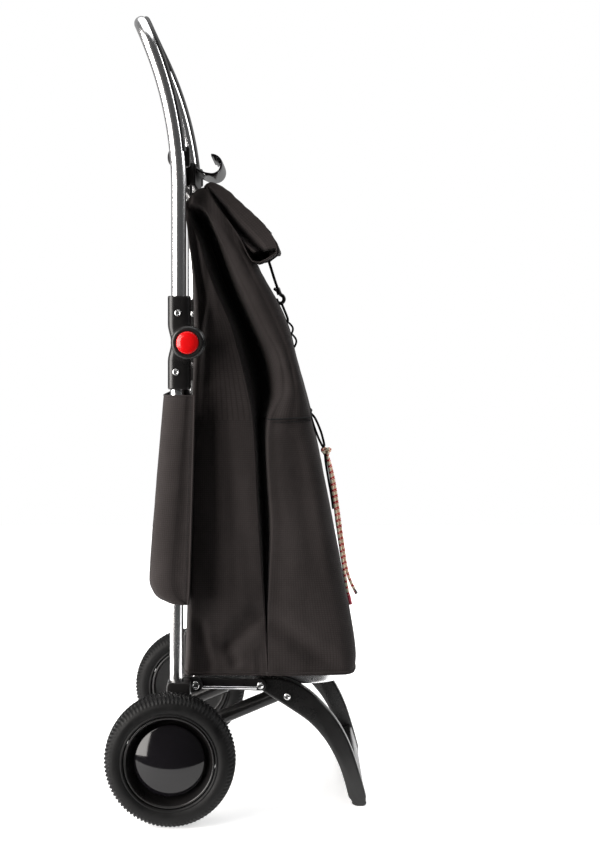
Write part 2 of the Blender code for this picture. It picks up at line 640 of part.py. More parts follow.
def rear_pocket(mats):
    """Fabric sleeve that wraps round the outside of both side tubes from behind."""
    def ring(z, rear, front):
        def plan(offset):
            half, back, corner = 0.1590 + offset, rear - offset, 0.016 + offset
            side_points = [(front, -half)]
            side_points += [(x, -y) for x, y in
                            arc((back + corner, half - corner), corner, 90, 180, 4)]
            return side_points + [(x, -y) for x, y in reversed(side_points)]
        return [(x, y, z) for x, y in plan(0.0012) + list(reversed(plan(-0.0012)))]
    levels = [(0.2710, -0.0935, -0.0655), (0.2755, -0.1060, -0.0650), (0.2850, -0.1140, -0.0645),
              (0.2980, -0.1176, -0.0640), (0.40, -0.1100, -0.0610), (0.5430, -0.0990, -0.0575)]
    bm = bmesh.new()
    skin(bm, [ring(*level) for level in levels])
    from_bmesh("rear_pocket", bm, mats["fabric"])


def front_panel(name, z_levels, half, offset, thickness, mat, mats):
    """A flat piece that lies on the bag's front, following its curve."""
    bm = bmesh.new()
    skin(bm, [[(bag_front(z) + offset, -half, z), (bag_front(z) + offset + thickness, -half, z),
               (bag_front(z) + offset + thickness, half, z), (bag_front(z) + offset, half, z)]
              for z in z_levels])
    return from_bmesh(name, bm, mats[mat])


def roll_top(mats):
    """Folded top of the bag, which lies over the mouth and lifts to open it."""
    under = 2 * GAP
    outline = [(MOUTH_REAR[0] + under, MOUTH_REAR[1] + 0.0010), (-0.0460, 0.8085),
               (-0.0420, 0.8102), (-0.0370, 0.8085), (0.0490, 0.7290), (0.0504, 0.7249),
               (0.0285, 0.7125), (0.0245, 0.7118), (MOUTH_FRONT[0] + 0.0018, MOUTH_FRONT[1])]
    flap = prism("roll_top", outline, -BAG_HALF, BAG_HALF, mats["fabric"])
    soften(flap, 0.0012, segments=1, angle=50)


def cord_tube(name, route, radius, mats, mat):
    """A cord along a smooth curve through its route points."""
    guide = bpy.data.curves.new(f"{name}_guide", "CURVE")
    guide.dimensions = "3D"
    spline = guide.splines.new("NURBS")
    spline.points.add(len(route) - 1)
    for point, place in zip(spline.points, route):
        point.co = (*place, 1)
    spline.order_u = 4
    spline.use_endpoint_u = True
    spline.resolution_u = 2
    guide_obj = bpy.data.objects.new(f"{name}_guide", guide)
    sampled = [v.co.copy() for v in guide_obj.to_mesh().vertices]
    guide_obj.to_mesh_clear()
    bpy.data.objects.remove(guide_obj)
    curve = bpy.data.curves.new(name, "CURVE")
    curve.dimensions = "3D"
    curve.bevel_depth = radius
    curve.bevel_resolution = 2
    curve.use_fill_caps = True
    poly = curve.splines.new("POLY")
    poly.points.add(len(sampled) - 1)
    for point, place in zip(poly.points, sampled):
        point.co = (*place, 1)
    curve.materials.append(mats[mat])
    obj = bpy.data.objects.new(name, curve)
    bpy.context.collection.objects.link(obj)


# Two strands of the zip puller, hanging in front of the bag (X, Y, Z).
STRAND_LONG = [(0.1154, -0.0026, 0.4453), (0.1174, -0.0026, 0.4340), (0.1199, -0.0026, 0.4200),
               (0.1222, -0.0026, 0.4050), (0.1244, -0.0026, 0.3900), (0.1266, -0.0027, 0.3720),
               (0.1288, -0.0028, 0.3540), (0.1314, -0.0028, 0.3350), (0.1342, -0.0029, 0.3150),
               (0.1372, -0.0030, 0.2960), (0.1402, -0.0030, 0.2780), (0.1431, -0.0030, 0.2610),
               (0.1456, -0.0030, 0.2500), (0.1478, -0.0028, 0.2400)]
STRAND_SHORT = [(0.1158, 0.0024, 0.4453), (0.1192, 0.0024, 0.4340), (0.1228, 0.0023, 0.4200),
                (0.1256, 0.0022, 0.4050), (0.1280, 0.0022, 0.3900), (0.1304, 0.0022, 0.3720),
                (0.1328, 0.0022, 0.3540), (0.1355, 0.0022, 0.3350), (0.1382, 0.0023, 0.3150),
                (0.1409, 0.0024, 0.2960), (0.1445, 0.0025, 0.2800), (0.1486, 0.0026, 0.2690),
                (0.1526, 0.0027, 0.2610)]
STRAND_RADIUS = 0.0022


def zip_puller(mats):
    """Webbing tab on the pocket's zip, a knotted cord with two strands, and its tip."""
    cord_tube("puller_strand_long", STRAND_LONG, STRAND_RADIUS, mats, "rope")
    cord_tube("puller_strand_short", STRAND_SHORT, STRAND_RADIUS, mats, "rope")
    box("puller_knot", (0.1085, 0.1195), (-0.0060, 0.0060), (0.4460 + GAP, 0.4570), mats["rope"],
        bevel=0.002)
    outline = [(0.0960, 0.5000), (0.0985, 0.5000), (0.1130, 0.4590), (0.1130, 0.4575),
               (0.1105, 0.4575)]
    prism("zip_tab", outline, -0.0045, 0.0045, mats["webbing"])
    tip = Vector(STRAND_SHORT[-1])
    direction = (tip - Vector(STRAND_SHORT[-2])).normalized()
    aglet = post("puller_tip", 0, 0, GAP, 0.0085, 0.0022, 12, mats["steel"])
    aglet.matrix_world = (Matrix.Translation(tip)
                          @ Vector((0, 0, 1)).rotation_difference(direction).to_matrix().to_4x4())


def closure(mats):
    """Elastic cord of the roll top, its hook, and the webbing ladder it clips to."""
    start, end = Vector((0.0350, 0, 0.7142)), Vector((0.0498, 0, 0.6712))
    cord = post("elastic_cord", 0, 0, 0, (end - start).length, 0.0016, 10, mats["webbing"])
    cord.matrix_world = (Matrix.Translation(start) @ Vector((0, 0, 1)).rotation_difference(
        end - start).to_matrix().to_4x4())
    centre = (0.0535, 0.6630)
    outline = [*arc(centre, 0.0070, 110, -150, 10), *arc(centre, 0.0046, -150, 110, 10)]
    prism("cord_hook", outline, -0.0030, 0.0030, mats["plastic"])
    front_panel("webbing_ladder", [0.596, 0.610, 0.625, 0.640, 0.654], 0.0090, 0.0005, 0.0022,
                "webbing", mats)


# ----------------------------------------------------------------------------- build
def main():
    for obj in list(bpy.data.objects):
        bpy.data.objects.remove(obj)
    mats = {
        "aluminium": material("aluminium", (0.80, 0.80, 0.82), 0.16, 1.0),
        "plastic": material("black_plastic", (0.016, 0.015, 0.016), 0.42),
        "gloss": material("gloss_black", (0.008, 0.007, 0.009), 0.08),
        "red": material("red_plastic", (0.60, 0.002, 0.003), 0.30),
        "rubber": material("grip_rubber", (0.014, 0.014, 0.015), 0.60),
        "tyre": material("tyre_rubber", (0.030, 0.030, 0.031), 0.70),
        "nylon": material("nylon", (0.60, 0.60, 0.56), 0.50),
        "steel": material("zinc_steel", (0.70, 0.70, 0.71), 0.25, 1.0),
        "fabric": material("bag_fabric", (0.026, 0.023, 0.024), 0.85),
        "webbing": material("webbing", (0.012, 0.012, 0.013), 0.80),
        "board": material("board", (0.05, 0.05, 0.05), 0.70),
        "rope": material("puller_rope", (0.75, 0.32, 0.26), 0.75),
    }
    shaft("axle", (AXLE_X, AXLE_Z), AXLE_RADIUS, -AXLE_HALF, AXLE_HALF, 16, mats["steel"])
    for label, side in SIDES:
        lower_tube(label, side, mats)
        axle_bracket(label, side, mats)
        base_bar(label, side, mats)
        leg(label, side, mats)
        brace(label, side, mats)
        base_rivets(label, side, mats)
        wheel(label, side, mats)
        fold_joint(label, side, mats)
    base_hoop(mats)
    foot_bar(mats)
    handle(mats)
    bag_body(mats)
    base_board(mats)
    rear_pocket(mats)
    front_panel("front_pocket", [0.182, 0.24, 0.32, 0.41, POCKET_TOP - 0.002], 0.100, GAP, 0.003,
                "fabric", mats)
    roll_top(mats)
    zip_puller(mats)
    closure(mats)


main()
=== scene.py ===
"""Looks of the folding shopping trolley: finished meshes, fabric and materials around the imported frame."""

import math
from itertools import accumulate

import bmesh
import bpy
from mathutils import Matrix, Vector, noise


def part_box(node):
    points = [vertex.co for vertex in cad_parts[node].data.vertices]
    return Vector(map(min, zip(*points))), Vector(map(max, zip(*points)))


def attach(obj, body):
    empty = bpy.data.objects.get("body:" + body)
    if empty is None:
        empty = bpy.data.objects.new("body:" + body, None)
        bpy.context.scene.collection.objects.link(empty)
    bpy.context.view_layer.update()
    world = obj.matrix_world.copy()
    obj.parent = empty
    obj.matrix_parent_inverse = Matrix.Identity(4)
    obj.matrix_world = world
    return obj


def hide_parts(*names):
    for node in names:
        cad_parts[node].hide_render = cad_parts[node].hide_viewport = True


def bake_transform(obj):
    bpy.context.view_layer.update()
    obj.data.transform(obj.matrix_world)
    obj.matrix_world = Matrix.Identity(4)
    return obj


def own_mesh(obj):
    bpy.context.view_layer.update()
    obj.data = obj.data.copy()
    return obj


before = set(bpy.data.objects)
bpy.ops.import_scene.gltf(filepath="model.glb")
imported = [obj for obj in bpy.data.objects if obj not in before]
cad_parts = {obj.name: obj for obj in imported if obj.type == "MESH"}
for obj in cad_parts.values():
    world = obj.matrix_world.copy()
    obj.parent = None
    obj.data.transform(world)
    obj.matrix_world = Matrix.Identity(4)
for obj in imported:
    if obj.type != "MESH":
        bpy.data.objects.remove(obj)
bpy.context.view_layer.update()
SIDES = (("right", -1), ("left", 1))

# ------------------------------------------------------------------ sizes, as in the frame
WHEEL_RADIUS, WHEEL_Y = 0.0825, 0.185
RIM_RADIUS, CAP_RADIUS = 0.057, 0.0445
AXLE, AXLE_HOLE = (-0.0864, 0.0825), 0.0053
TUBE_Y = 0.146
LOWER_TUBE_X, LOWER_TUBE_RADIUS = -0.0812, 0.0085
UPPER_TUBE_X, UPPER_TUBE_RADIUS = -0.0787, 0.0097
TUBE_WALL = 0.0013
BOW_START_Z, BOW_BEND_Z, BOW_BEND_RADIUS = 0.626, 0.800, 0.50
BOW_TOP_Z, BOW_CORNER = 1.0213, 0.045
HINGE = (-0.0662, 0.6041)
JOINT_X, JOINT_HALF = -0.0777, 0.0147
HUB_RADIUS, KNUCKLE_RADIUS, BUTTON_RADIUS = 0.0215, 0.0205, 0.0146
PIVOT_A, PIVOT_B, PIVOT_C = (-0.058, 0.162), (0.0258, 0.1594), (0.0605, 0.1435)
BAG_HALF, BAG_BOTTOM, POCKET_TOP = 0.127, 0.1725, 0.504
FABRIC = 0.0014               # thickness of the bag's cloth


# ------------------------------------------------------------------------ mesh helpers
def link(name, mesh, mat=None):
    """A new object in the scene."""
    obj = bpy.data.objects.new(name, mesh)
    bpy.context.collection.objects.link(obj)
    if mat:
        mesh.materials.append(mat)
    return obj


def place(obj, body, slot, *nodes):
    """Ride on a body and stand for CAD nodes; the finish slot is not used."""
    if nodes:
        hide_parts(*nodes)
    if body:
        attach(obj, body)
    return obj


def smooth(obj, angle=40):
    """Shade smoothly, with sharp edges kept above an angle."""
    obj.data.shade_smooth()
    obj.data.set_sharp_from_angle(angle=math.radians(angle))
    return obj


def settle(obj):
    """Apply the modifiers."""
    graph = bpy.context.evaluated_depsgraph_get()
    mesh = bpy.data.meshes.new_from_object(obj.evaluated_get(graph))
    obj.modifiers.clear()
    obj.data = mesh
    return obj


def thicken(obj, thickness=FABRIC, offset=-1):
    """Give a sheet its thickness."""
    wall = obj.modifiers.new("wall", "SOLIDIFY")
    wall.thickness, wall.offset = thickness, offset
    return settle(obj)


def step(t, low=0.0, high=1.0):
    """Smooth ramp from 0 to 1 between two limits."""
    t = min(1.0, max(0.0, (t - low) / (high - low)))
    return t * t * (3 - 2 * t)


def mix(a, b, t):
    return a + (b - a) * t


def shares(count, first=1):
    """Even steps up to 1, after 0 or (with first=0) from 0."""
    return [i / count for i in range(first, count + 1)]


def curve_at(points, z):
    """Smooth height-to-X line through a few (z, x) points that rise in z."""
    if z <= points[0][0]:
        return points[0][1]
    if z >= points[-1][0]:
        return points[-1][1]
    i = max(k for k in range(len(points) - 1) if points[k][0] <= z)
    (z0, x0), (z1, x1) = points[i], points[i + 1]

    def slope(k):
        low, high = points[max(k - 1, 0)], points[min(k + 1, len(points) - 1)]
        return (high[1] - low[1]) / (high[0] - low[0])
    h = z1 - z0
    t = (z - z0) / h
    return (x0 * (1 + 2 * t) * (1 - t) ** 2 + slope(i) * h * t * (1 - t) ** 2
            + x1 * t * t * (3 - 2 * t) + slope(i + 1) * h * t * t * (t - 1))


def travel(pairs):
    """Distance covered at each point of a line, given its neighbouring pairs."""
    return [0.0, *accumulate((Vector(b) - Vector(a)).length for a, b in pairs)]


def grid(name, rows, closed=True, caps=(False, False), mat=None, turn=False):
    """Mesh of equal rows of points, with a UV map in metres; rows may close into rings."""
    net = bmesh.new()
    layer = net.loops.layers.uv.new("cloth")
    verts = [[net.verts.new(p) for p in row] for row in rows]
    count = len(rows[0])
    middle = rows[len(rows) // 2]
    along = travel(zip(middle, [*middle[1:], middle[0]]))
    up = [0.0, *accumulate(sum((Vector(a) - Vector(b)).length for a, b in zip(low, high)) / count
                           for low, high in zip(rows, rows[1:]))]
    for r in range(len(rows) - 1):
        for i in range(count if closed else count - 1):
            j = (i + 1) % count
            quad = (verts[r][i], verts[r][j], verts[r + 1][j], verts[r + 1][i])
            if len(set(quad)) < 4:
                continue
            face = net.faces.new(quad)
            uvs = ((along[i], up[r]), (along[i + 1], up[r]), (along[i + 1], up[r + 1]),
                   (along[i], up[r + 1]))
            for loop, uv in zip(face.loops, uvs):
                loop[layer].uv = uv
    for wanted, ring in zip(caps, (verts[0], verts[-1])):
        if wanted:
            face = net.faces.new(ring)
            for loop in face.loops:
                loop[layer].uv = (loop.vert.co.x, loop.vert.co.y)
    if closed:
        bmesh.ops.recalc_face_normals(net, faces=net.faces)
    elif turn:
        bmesh.ops.reverse_faces(net, faces=net.faces)
    mesh = bpy.data.meshes.new(name)
    net.to_mesh(mesh)
    net.free()
    obj = link(name, mesh, mat)
    obj.data.shade_smooth()
    return obj


def arc(centre, radius, start, end, steps):
    """Points round a centre between two angles in degrees."""
    turn = [math.radians(start + (end - start) * i / steps) for i in range(steps + 1)]
    return [(centre[0] + radius * math.cos(a), centre[1] + radius * math.sin(a)) for a in turn]


def rounded_corners(outline, radius, steps=5):
    """Replace each corner of a closed outline with a small arc-like curve."""
    made = []
    for before, here, after in zip(outline[-1:] + outline[:-1], outline, outline[1:] + outline[:1]):
        a, p, b = Vector(before), Vector(here), Vector(after)
        reach = min(radius, (a - p).length * 0.45, (b - p).length * 0.45)
        start, end = p + (a - p).normalized() * reach, p + (b - p).normalized() * reach
        for i in range(steps + 1):
            t = i / steps
            made.append(tuple(start * (1 - t) ** 2 + p * 2 * t * (1 - t) + end * t * t))
    return made


def route_length(points):
    return travel(zip(points, points[1:]))[-1]


def resampled(line, wanted):
    """Points at the wanted shares of a line's length."""
    lengths = travel(zip(line, line[1:]))
    made, k = [], 0
    for share in wanted:
        want = lengths[-1] * share
        while k < len(line) - 2 and lengths[k + 1] < want:
            k += 1
        span = max(1e-9, lengths[k + 1] - lengths[k])
        made.append(line[k].lerp(line[k + 1], min(1.0, (want - lengths[k]) / span)))
    return made


def evened(outline, spacing):
    """The same closed outline with points at even steps."""
    loop = [Vector(p) for p in (*outline, outline[0])]
    count = int(route_length(loop) / spacing)
    return [tuple(p) for p in resampled(loop, shares(count, 0)[:-1])]


def inset(outline, width):
    """Move a closed outline inward by a width."""
    area = sum(a[0] * b[1] - b[0] * a[1] for a, b in zip(outline, outline[1:] + outline[:1]))
    turn = 1 if area > 0 else -1
    made = []
    for before, here, after in zip(outline[-1:] + outline[:-1], outline, outline[1:] + outline[:1]):
        one = (Vector(here) - Vector(before))
        two = (Vector(after) - Vector(here))
        one = one.normalized() if one.length > 1e-9 else two.normalized()
        two = two.normalized() if two.length > 1e-9 else one
        along = (one + two).normalized()
        scale = width / max(0.4, math.sqrt(max(0.0, (1 + one.dot(two)) / 2)))
        made.append((here[0] - turn * along.y * scale, here[1] + turn * along.x * scale))
    return made


def plate(name, outline, low, high, edge, mat=None, rounds=3):
    """An X-Z outline extruded along Y with rounded rims."""
    rows = []
    for face, way in ((low, 1), (high, -1)):
        for i in range(rounds + 1)[::way]:
            a = math.pi / 2 * i / rounds
            shape = inset(outline, edge * (1 - math.sin(a))) if i < rounds else outline
            rows.append([(x, face + way * edge * (1 - math.cos(a)), z) for x, z in shape])
    obj = grid(name, rows, caps=(True, True), mat=mat)
    return smooth(obj, 50)


def both_ways(side, low, high):
    """A range along Y on the right or on the left, in rising order."""
    return (low, high) if side > 0 else (-high, -low)


def turned(name, profile, centre, side=1, base=0.0, segments=96, mat=None, angle=40, wave=None):
    """Turn (radius, y) points about an axis along Y; wave(radius, y, angle) moves the radius."""
    rows = []
    for radius, y in profile:
        ring = []
        for i in range(segments):
            a = 2 * math.pi * i / segments
            r = radius + (wave(radius, y, a) if wave else 0.0)
            ring.append((centre[0] + r * math.cos(a), side * (base + y), centre[1] + r * math.sin(a)))
        rows.append(ring)
    obj = grid(name, rows, mat=mat)
    bm = bmesh.new()
    bm.from_mesh(obj.data)
    bmesh.ops.remove_doubles(bm, verts=bm.verts, dist=1e-6)
    bmesh.ops.recalc_face_normals(bm, faces=bm.faces)
    bm.to_mesh(obj.data)
    bm.free()
    return smooth(obj, angle)


def bar(name, start, end, radius, edge, segments=40, mat=None):
    """A straight round bar with rounded ends."""
    start, end = Vector(start), Vector(end)
    axis = (end - start).normalized()
    across = axis.cross(Vector((0, 1, 0)) if abs(axis.y) < 0.9 else Vector((1, 0, 0))).normalized()
    other = axis.cross(across)
    rows, length = [], (end - start).length
    for t, shrink in ((0, edge), (edge * 0.3, edge * 0.3), (edge, 0), (length - edge, 0),
                      (length - edge * 0.3, edge * 0.3), (length, edge)):
        ring = []
        for i in range(segments):
            a = 2 * math.pi * i / segments
            way = across * math.cos(a) + other * math.sin(a)
            ring.append(start + axis * t + way * (radius - shrink))
        rows.append(ring)
    return smooth(grid(name, rows, caps=(True, True), mat=mat), 50)


def squared(angle, power):
    """Point of a rounded square at an angle; a smaller power makes it squarer."""
    return (math.copysign(abs(v) ** power, v) for v in (math.cos(angle), math.sin(angle)))


def tube(name, path, radius, sides=20, mat=None, shape=None, flat=None, cap=True, up=Vector((0, 1, 0))):
    """A tube along points. shape(gone, a) moves its radius at a distance gone along it and an angle;
    flat=(half width, half height) makes a strap instead."""
    path = [Vector(p) for p in path]
    rows = []
    for i, (p, gone) in enumerate(zip(path, travel(zip(path, path[1:])))):
        tangent = (path[min(i + 1, len(path) - 1)] - path[max(i - 1, 0)]).normalized()
        side = up - tangent * up.dot(tangent)
        side.normalize()
        other = tangent.cross(side)
        ring = []
        for k in range(sides):
            a = 2 * math.pi * k / sides
            if flat:
                c, s = squared(a, 0.45)
                ring.append(p + side * c * flat[0] + other * s * flat[1])
            else:
                r = radius + (shape(gone, a) if shape else 0.0)
                ring.append(p + side * math.cos(a) * r + other * math.sin(a) * r)
        rows.append(ring)
    return grid(name, rows, caps=(cap, cap), mat=mat)


def through(points, count):
    """Points at even steps on a smooth curve through a few given points."""
    pts = [Vector(p) for p in points]
    pts = [pts[0] * 2 - pts[1], *pts, pts[-1] * 2 - pts[-2]]
    fine, per_span = [], 16
    for i in range(1, len(pts) - 2):
        for t in shares(per_span, 0)[:-1]:
            a, b, c, d = pts[i - 1:i + 3]
            fine.append(0.5 * (2 * b + (c - a) * t + (2 * a - 5 * b + 4 * c - d) * t * t
                               + (3 * b - a - 3 * c + d) * t ** 3))
    fine.append(pts[-2])
    return resampled(fine, shares(count - 1, 0))


def upright(points, count):
    """A smooth curve through (x, z) points in the middle plane."""
    return through([(x, 0, z) for x, z in points], count)


def join(name, parts):
    """Join meshes into one object, keeping each one's material."""
    bm = bmesh.new()
    mats = []
    for part in parts:
        offset = {}
        for i, mat in enumerate(part.data.materials):
            if mat not in mats:
                mats.append(mat)
            offset[i] = mats.index(mat)
        before = len(bm.faces)
        bm.from_mesh(part.data)
        bm.faces.ensure_lookup_table()
        for face in bm.faces[before:]:
            face.material_index = offset.get(face.material_index, 0)
    mesh = bpy.data.meshes.new(name)
    bm.to_mesh(mesh)
    bm.free()
    for part in parts:
        bpy.data.objects.remove(part)
    for mat in mats:
        mesh.materials.append(mat)
    return link(name, mesh)


def combine(obj, operation, others):
    """Booleans with other shapes, one after another."""
    for other in others:
        mod = obj.modifiers.new("combine", "BOOLEAN")
        mod.operation, mod.solver, mod.object = operation, "EXACT", other
        settle(obj)
        bpy.data.objects.remove(other)


def fuse(obj, *others):
    combine(obj, "UNION", others)


def cut(obj, *others):
    combine(obj, "DIFFERENCE", others)


def soften(obj, width, segments=2, angle=35):
    """Round the sharp edges."""
    mod = obj.modifiers.new("edges", "BEVEL")
    mod.width, mod.segments = width, segments
    mod.limit_method, mod.angle_limit = "ANGLE", math.radians(angle)
    mod.harden_normals = False
    return smooth(settle(obj), 50)


# -------------------------------------------------------------------------- materials
def new_material(name, colour, roughness, metallic=0.0, **sockets):
    """Principled material; other sockets by name, with _ for a space."""
    mat = bpy.data.materials.new(name)
    mat.use_nodes = True
    shader = mat.node_tree.nodes["Principled BSDF"]
    shader.inputs["Base Color"].default_value = (*colour, 1)
    shader.inputs["Roughness"].default_value = roughness
    shader.inputs["Metallic"].default_value = metallic
    for key, value in sockets.items():
        shader.inputs[key.replace("_", " ")].default_value = value
    return mat


def add(mat, kind, inputs=None, **settings):
    """A shader node in a material or world, with values or links on its inputs."""
    node = mat.node_tree.nodes.new("ShaderNode" + kind)
    for key, value in settings.items():
        setattr(node, key, value)
    for key, value in (inputs or {}).items():
        if isinstance(value, bpy.types.NodeSocket):
            mat.node_tree.links.new(value, node.inputs[key])
        else:
            node.inputs[key].default_value = value
    return node


def sums(mat, operation, *values):
    """A Math node's output."""
    return add(mat, "Math", dict(enumerate(values)), operation=operation).outputs[0]


def times(mat, *pair):
    """The product of two sockets or numbers."""
    return sums(mat, "MULTIPLY", *pair)


def total(mat, *values):
    """The sum of several sockets."""
    result = values[0]
    for value in values[1:]:
        result = sums(mat, "ADD", result, value)
    return result


def into(mat, socket, value):
    """Link a value to the material's shader."""
    mat.node_tree.links.new(value, mat.node_tree.nodes["Principled BSDF"].inputs[socket])


def speckle(mat, where, scale, detail=3.0, rough=0.55):
    """Plain noise."""
    return add(mat, "TexNoise", {"Vector": where, "Scale": scale, "Detail": detail,
                                 "Roughness": rough}).outputs["Fac"]


def spread(mat, value, low, high, out_low, out_high):
    """A value's range stretched onto another, with its ends held."""
    return add(mat, "MapRange", {"Value": value, "From Min": low, "From Max": high,
                                 "To Min": out_low, "To Max": out_high}).outputs[0]


def streaks(mat, where, scale, detail, rough=0.5, turn=(0.0, 0.0, 0.0)):
    """Noise drawn out by its own scale on each axis."""
    along = add(mat, "Mapping", {"Vector": where, "Scale": scale, "Rotation": turn}).outputs[0]
    return speckle(mat, along, 1.0, detail, rough)


def blend_colours(mat, fac, one, two):
    """A mix of two colours, each given as RGB or as a socket."""
    ends = [c if isinstance(c, bpy.types.NodeSocket) else (*c, 1) for c in (one, two)]
    return add(mat, "Mix", {0: fac, 6: ends[0], 7: ends[1]}, data_type="RGBA").outputs[2]


def bump(mat, height, distance, strength=1.0):
    node = add(mat, "Bump", {"Height": height, "Distance": distance, "Strength": strength})
    into(mat, "Normal", node.outputs[0])


def cloth_material(name, colour, light, thread=0.0007, ribs=0.0027, sheen=0.25):
    """Plain-woven cloth: threads, a faint reinforcing grid, fading and dust."""
    mat = new_material(name, colour, 0.82, Sheen_Weight=sheen, Sheen_Roughness=0.45,
                       Specular_IOR_Level=0.16)
    uv = add(mat, "UVMap", uv_map="cloth").outputs[0]
    where = add(mat, "TexCoord").outputs["Object"]
    drift = add(mat, "VectorMath", {
        0: add(mat, "TexNoise", {"Vector": where, "Scale": 60.0}).outputs["Color"],
        1: (0.0006, 0.0006, 0)}, operation="MULTIPLY").outputs[0]
    split = add(mat, "SeparateXYZ", {0: add(mat, "VectorMath", {0: uv, 1: drift}).outputs[0]})
    waves = [sums(mat, "SINE", times(mat, split.outputs[i], 2 * math.pi / thread))
             for i in (0, 1)]
    weave = times(mat, *waves)
    grids = [sums(mat, "POWER", sums(mat, "ABSOLUTE", sums(
        mat, "COSINE", times(mat, split.outputs[i], math.pi / ribs))), 12.0)
        for i in (0, 1)]
    grid_lines = sums(mat, "MAXIMUM", *grids)
    fade = speckle(mat, where, 9.0, 5.0, 0.6)
    fleck = speckle(mat, where, 900.0, 2.0)
    tone = total(mat, spread(mat, fade, 0.3, 0.7, 0.08, 0.30), times(mat, fleck, 0.30),
                 times(mat, weave, 0.22), times(mat, grid_lines, -0.30))
    into(mat, "Base Color", blend_colours(mat, tone, colour, light))
    into(mat, "Roughness", spread(mat, fade, 0.3, 0.7, 0.90, 0.72))
    height = total(mat, times(mat, weave, 0.5), times(mat, grid_lines, -0.6))
    bump(mat, height, 0.00012, 0.7)
    return mat


def plastic_material(name, colour, light, roughness, grain=0.00004, coat=0.0):
    """Moulded plastic: fine spark-eroded grain, faint scuffs and uneven gloss."""
    mat = new_material(name, colour, roughness, Coat_Weight=coat, Coat_Roughness=0.08,
                       Specular_IOR_Level=0.4)
    where = add(mat, "TexCoord").outputs["Object"]
    fade = speckle(mat, where, 14.0, 6.0, 0.65)
    fine = speckle(mat, where, 1600.0, 2.0)
    scuffs = streaks(mat, where, (900.0, 60.0, 120.0), 3.0, turn=(0.3, 0.5, 0.2))
    worn = spread(mat, scuffs, 0.66, 0.74, 0.0, 0.35)
    edges = spread(mat, add(mat, "NewGeometry").outputs["Pointiness"], 0.52, 0.60, 0.0, 0.5)
    tone = total(mat, spread(mat, fade, 0.35, 0.7, 0.0, 0.4), worn, edges)
    into(mat, "Base Color", blend_colours(mat, tone, colour, light))
    uneven = spread(mat, fade, 0.3, 0.7, roughness - 0.06, roughness + 0.08)
    into(mat, "Roughness", total(mat, uneven, times(mat, worn, 0.2)))
    bump(mat, fine, grain, 0.6)
    return mat


def metal_material(name, colour, dark, roughness, lines=(700.0, 700.0, 9.0)):
    """Drawn or polished metal: fine lines, smudges and a few scratches."""
    mat = new_material(name, colour, roughness, 1.0)
    where = add(mat, "TexCoord").outputs["Object"]
    drawn = streaks(mat, where, lines, 4.0)
    smudge = speckle(mat, where, 30.0, 5.0, 0.6)
    scratch = spread(mat, streaks(mat, where, (1400.0, 1400.0, 25.0), 2.0, 0.55), 0.68, 0.74, 0, 0.6)
    tone = total(mat, spread(mat, smudge, 0.35, 0.75, 0.0, 0.2), times(mat, scratch, 0.4))
    into(mat, "Base Color", blend_colours(mat, tone, colour, dark))
    uneven = spread(mat, smudge, 0.3, 0.7, roughness * 0.92, roughness * 1.1)
    into(mat, "Roughness", total(mat, uneven, times(mat, scratch, 0.08)))
    bump(mat, drawn, 0.0000008, 0.5)
    return mat


def tyre_material():
    """Matt rubber with moulding grain and patches of dust."""
    mat = new_material("tyre_rubber", (0.022, 0.022, 0.023), 0.5, Specular_IOR_Level=0.18)
    where = add(mat, "TexCoord").outputs["Object"]
    dust = speckle(mat, where, 45.0, 6.0, 0.7)
    into(mat, "Base Color", blend_colours(mat, spread(mat, dust, 0.4, 0.75, 0.0, 0.5),
                                          (0.0026, 0.0026, 0.0028), (0.008, 0.0079, 0.0078)))
    into(mat, "Roughness", spread(mat, dust, 0.35, 0.7, 0.44, 0.72))
    bump(mat, speckle(mat, where, 1200.0, 3.0), 0.00006, 0.7)
    return mat


def rope_material():
    """Braided cord: cream strands with red ones crossing, from the cord's own UV map."""
    mat = new_material("puller_rope", (0.75, 0.5, 0.4), 0.78, Sheen_Weight=0.3)
    split = add(mat, "SeparateXYZ", {0: add(mat, "UVMap", uv_map="cloth").outputs[0]})
    lengthwise = times(mat, split.outputs[1], 2 * math.pi / ROPE_TURN)
    around = times(mat, split.outputs[0], 1 / ROPE_RADIUS)
    leans = [sums(mat, "SINE", sums(mat, op, lengthwise, around)) for op in ("ADD", "SUBTRACT")]
    red = sums(mat, "MAXIMUM", *[spread(mat, s, 0.72, 0.82, 0.0, 1.0) for s in leans])
    picks = [sums(mat, "SINE", sums(mat, op, times(mat, lengthwise, 3.0),
                                    times(mat, around, 5.0))) for op in ("ADD", "SUBTRACT")]
    over = times(mat, *picks)
    cream = blend_colours(mat, spread(mat, over, -0.6, 0.6, 0.0, 1.0), (1.0, 0.80, 0.54),
                          (1.0, 0.93, 0.75))
    into(mat, "Base Color", blend_colours(mat, red, cream, (0.62, 0.012, 0.020)))
    bump(mat, over, 0.00022, 0.9)
    return mat


ROPE_RADIUS, ROPE_TURN = 0.0022, 0.0085
CLOTH = cloth_material("bag_fabric", (0.0150, 0.0122, 0.0121), (0.054, 0.0450, 0.0440), sheen=0.04)
WEBBING = cloth_material("webbing", (0.008, 0.008, 0.0085), (0.022, 0.022, 0.023), thread=0.0010,
                         ribs=0.0040, sheen=0.02)
BLACK = plastic_material("black_plastic", (0.0050, 0.0047, 0.0048), (0.016, 0.015, 0.015), 0.30)
LEG_BLACK = plastic_material("leg_plastic", (0.0050, 0.0049, 0.0050), (0.014, 0.0135, 0.0135), 0.28,
                             grain=0.00003)
GLOSS = plastic_material("gloss_black", (0.004, 0.0035, 0.0045), (0.008, 0.0075, 0.009), 0.08,
                         grain=0.000001)
RED = plastic_material("red_plastic", (0.60, 0.0005, 0.002), (0.68, 0.006, 0.006), 0.24, grain=0.00001,
                       coat=0.3)
GRIP = plastic_material("grip_rubber", (0.006, 0.006, 0.0065), (0.014, 0.014, 0.0145), 0.50,
                        grain=0.00012)
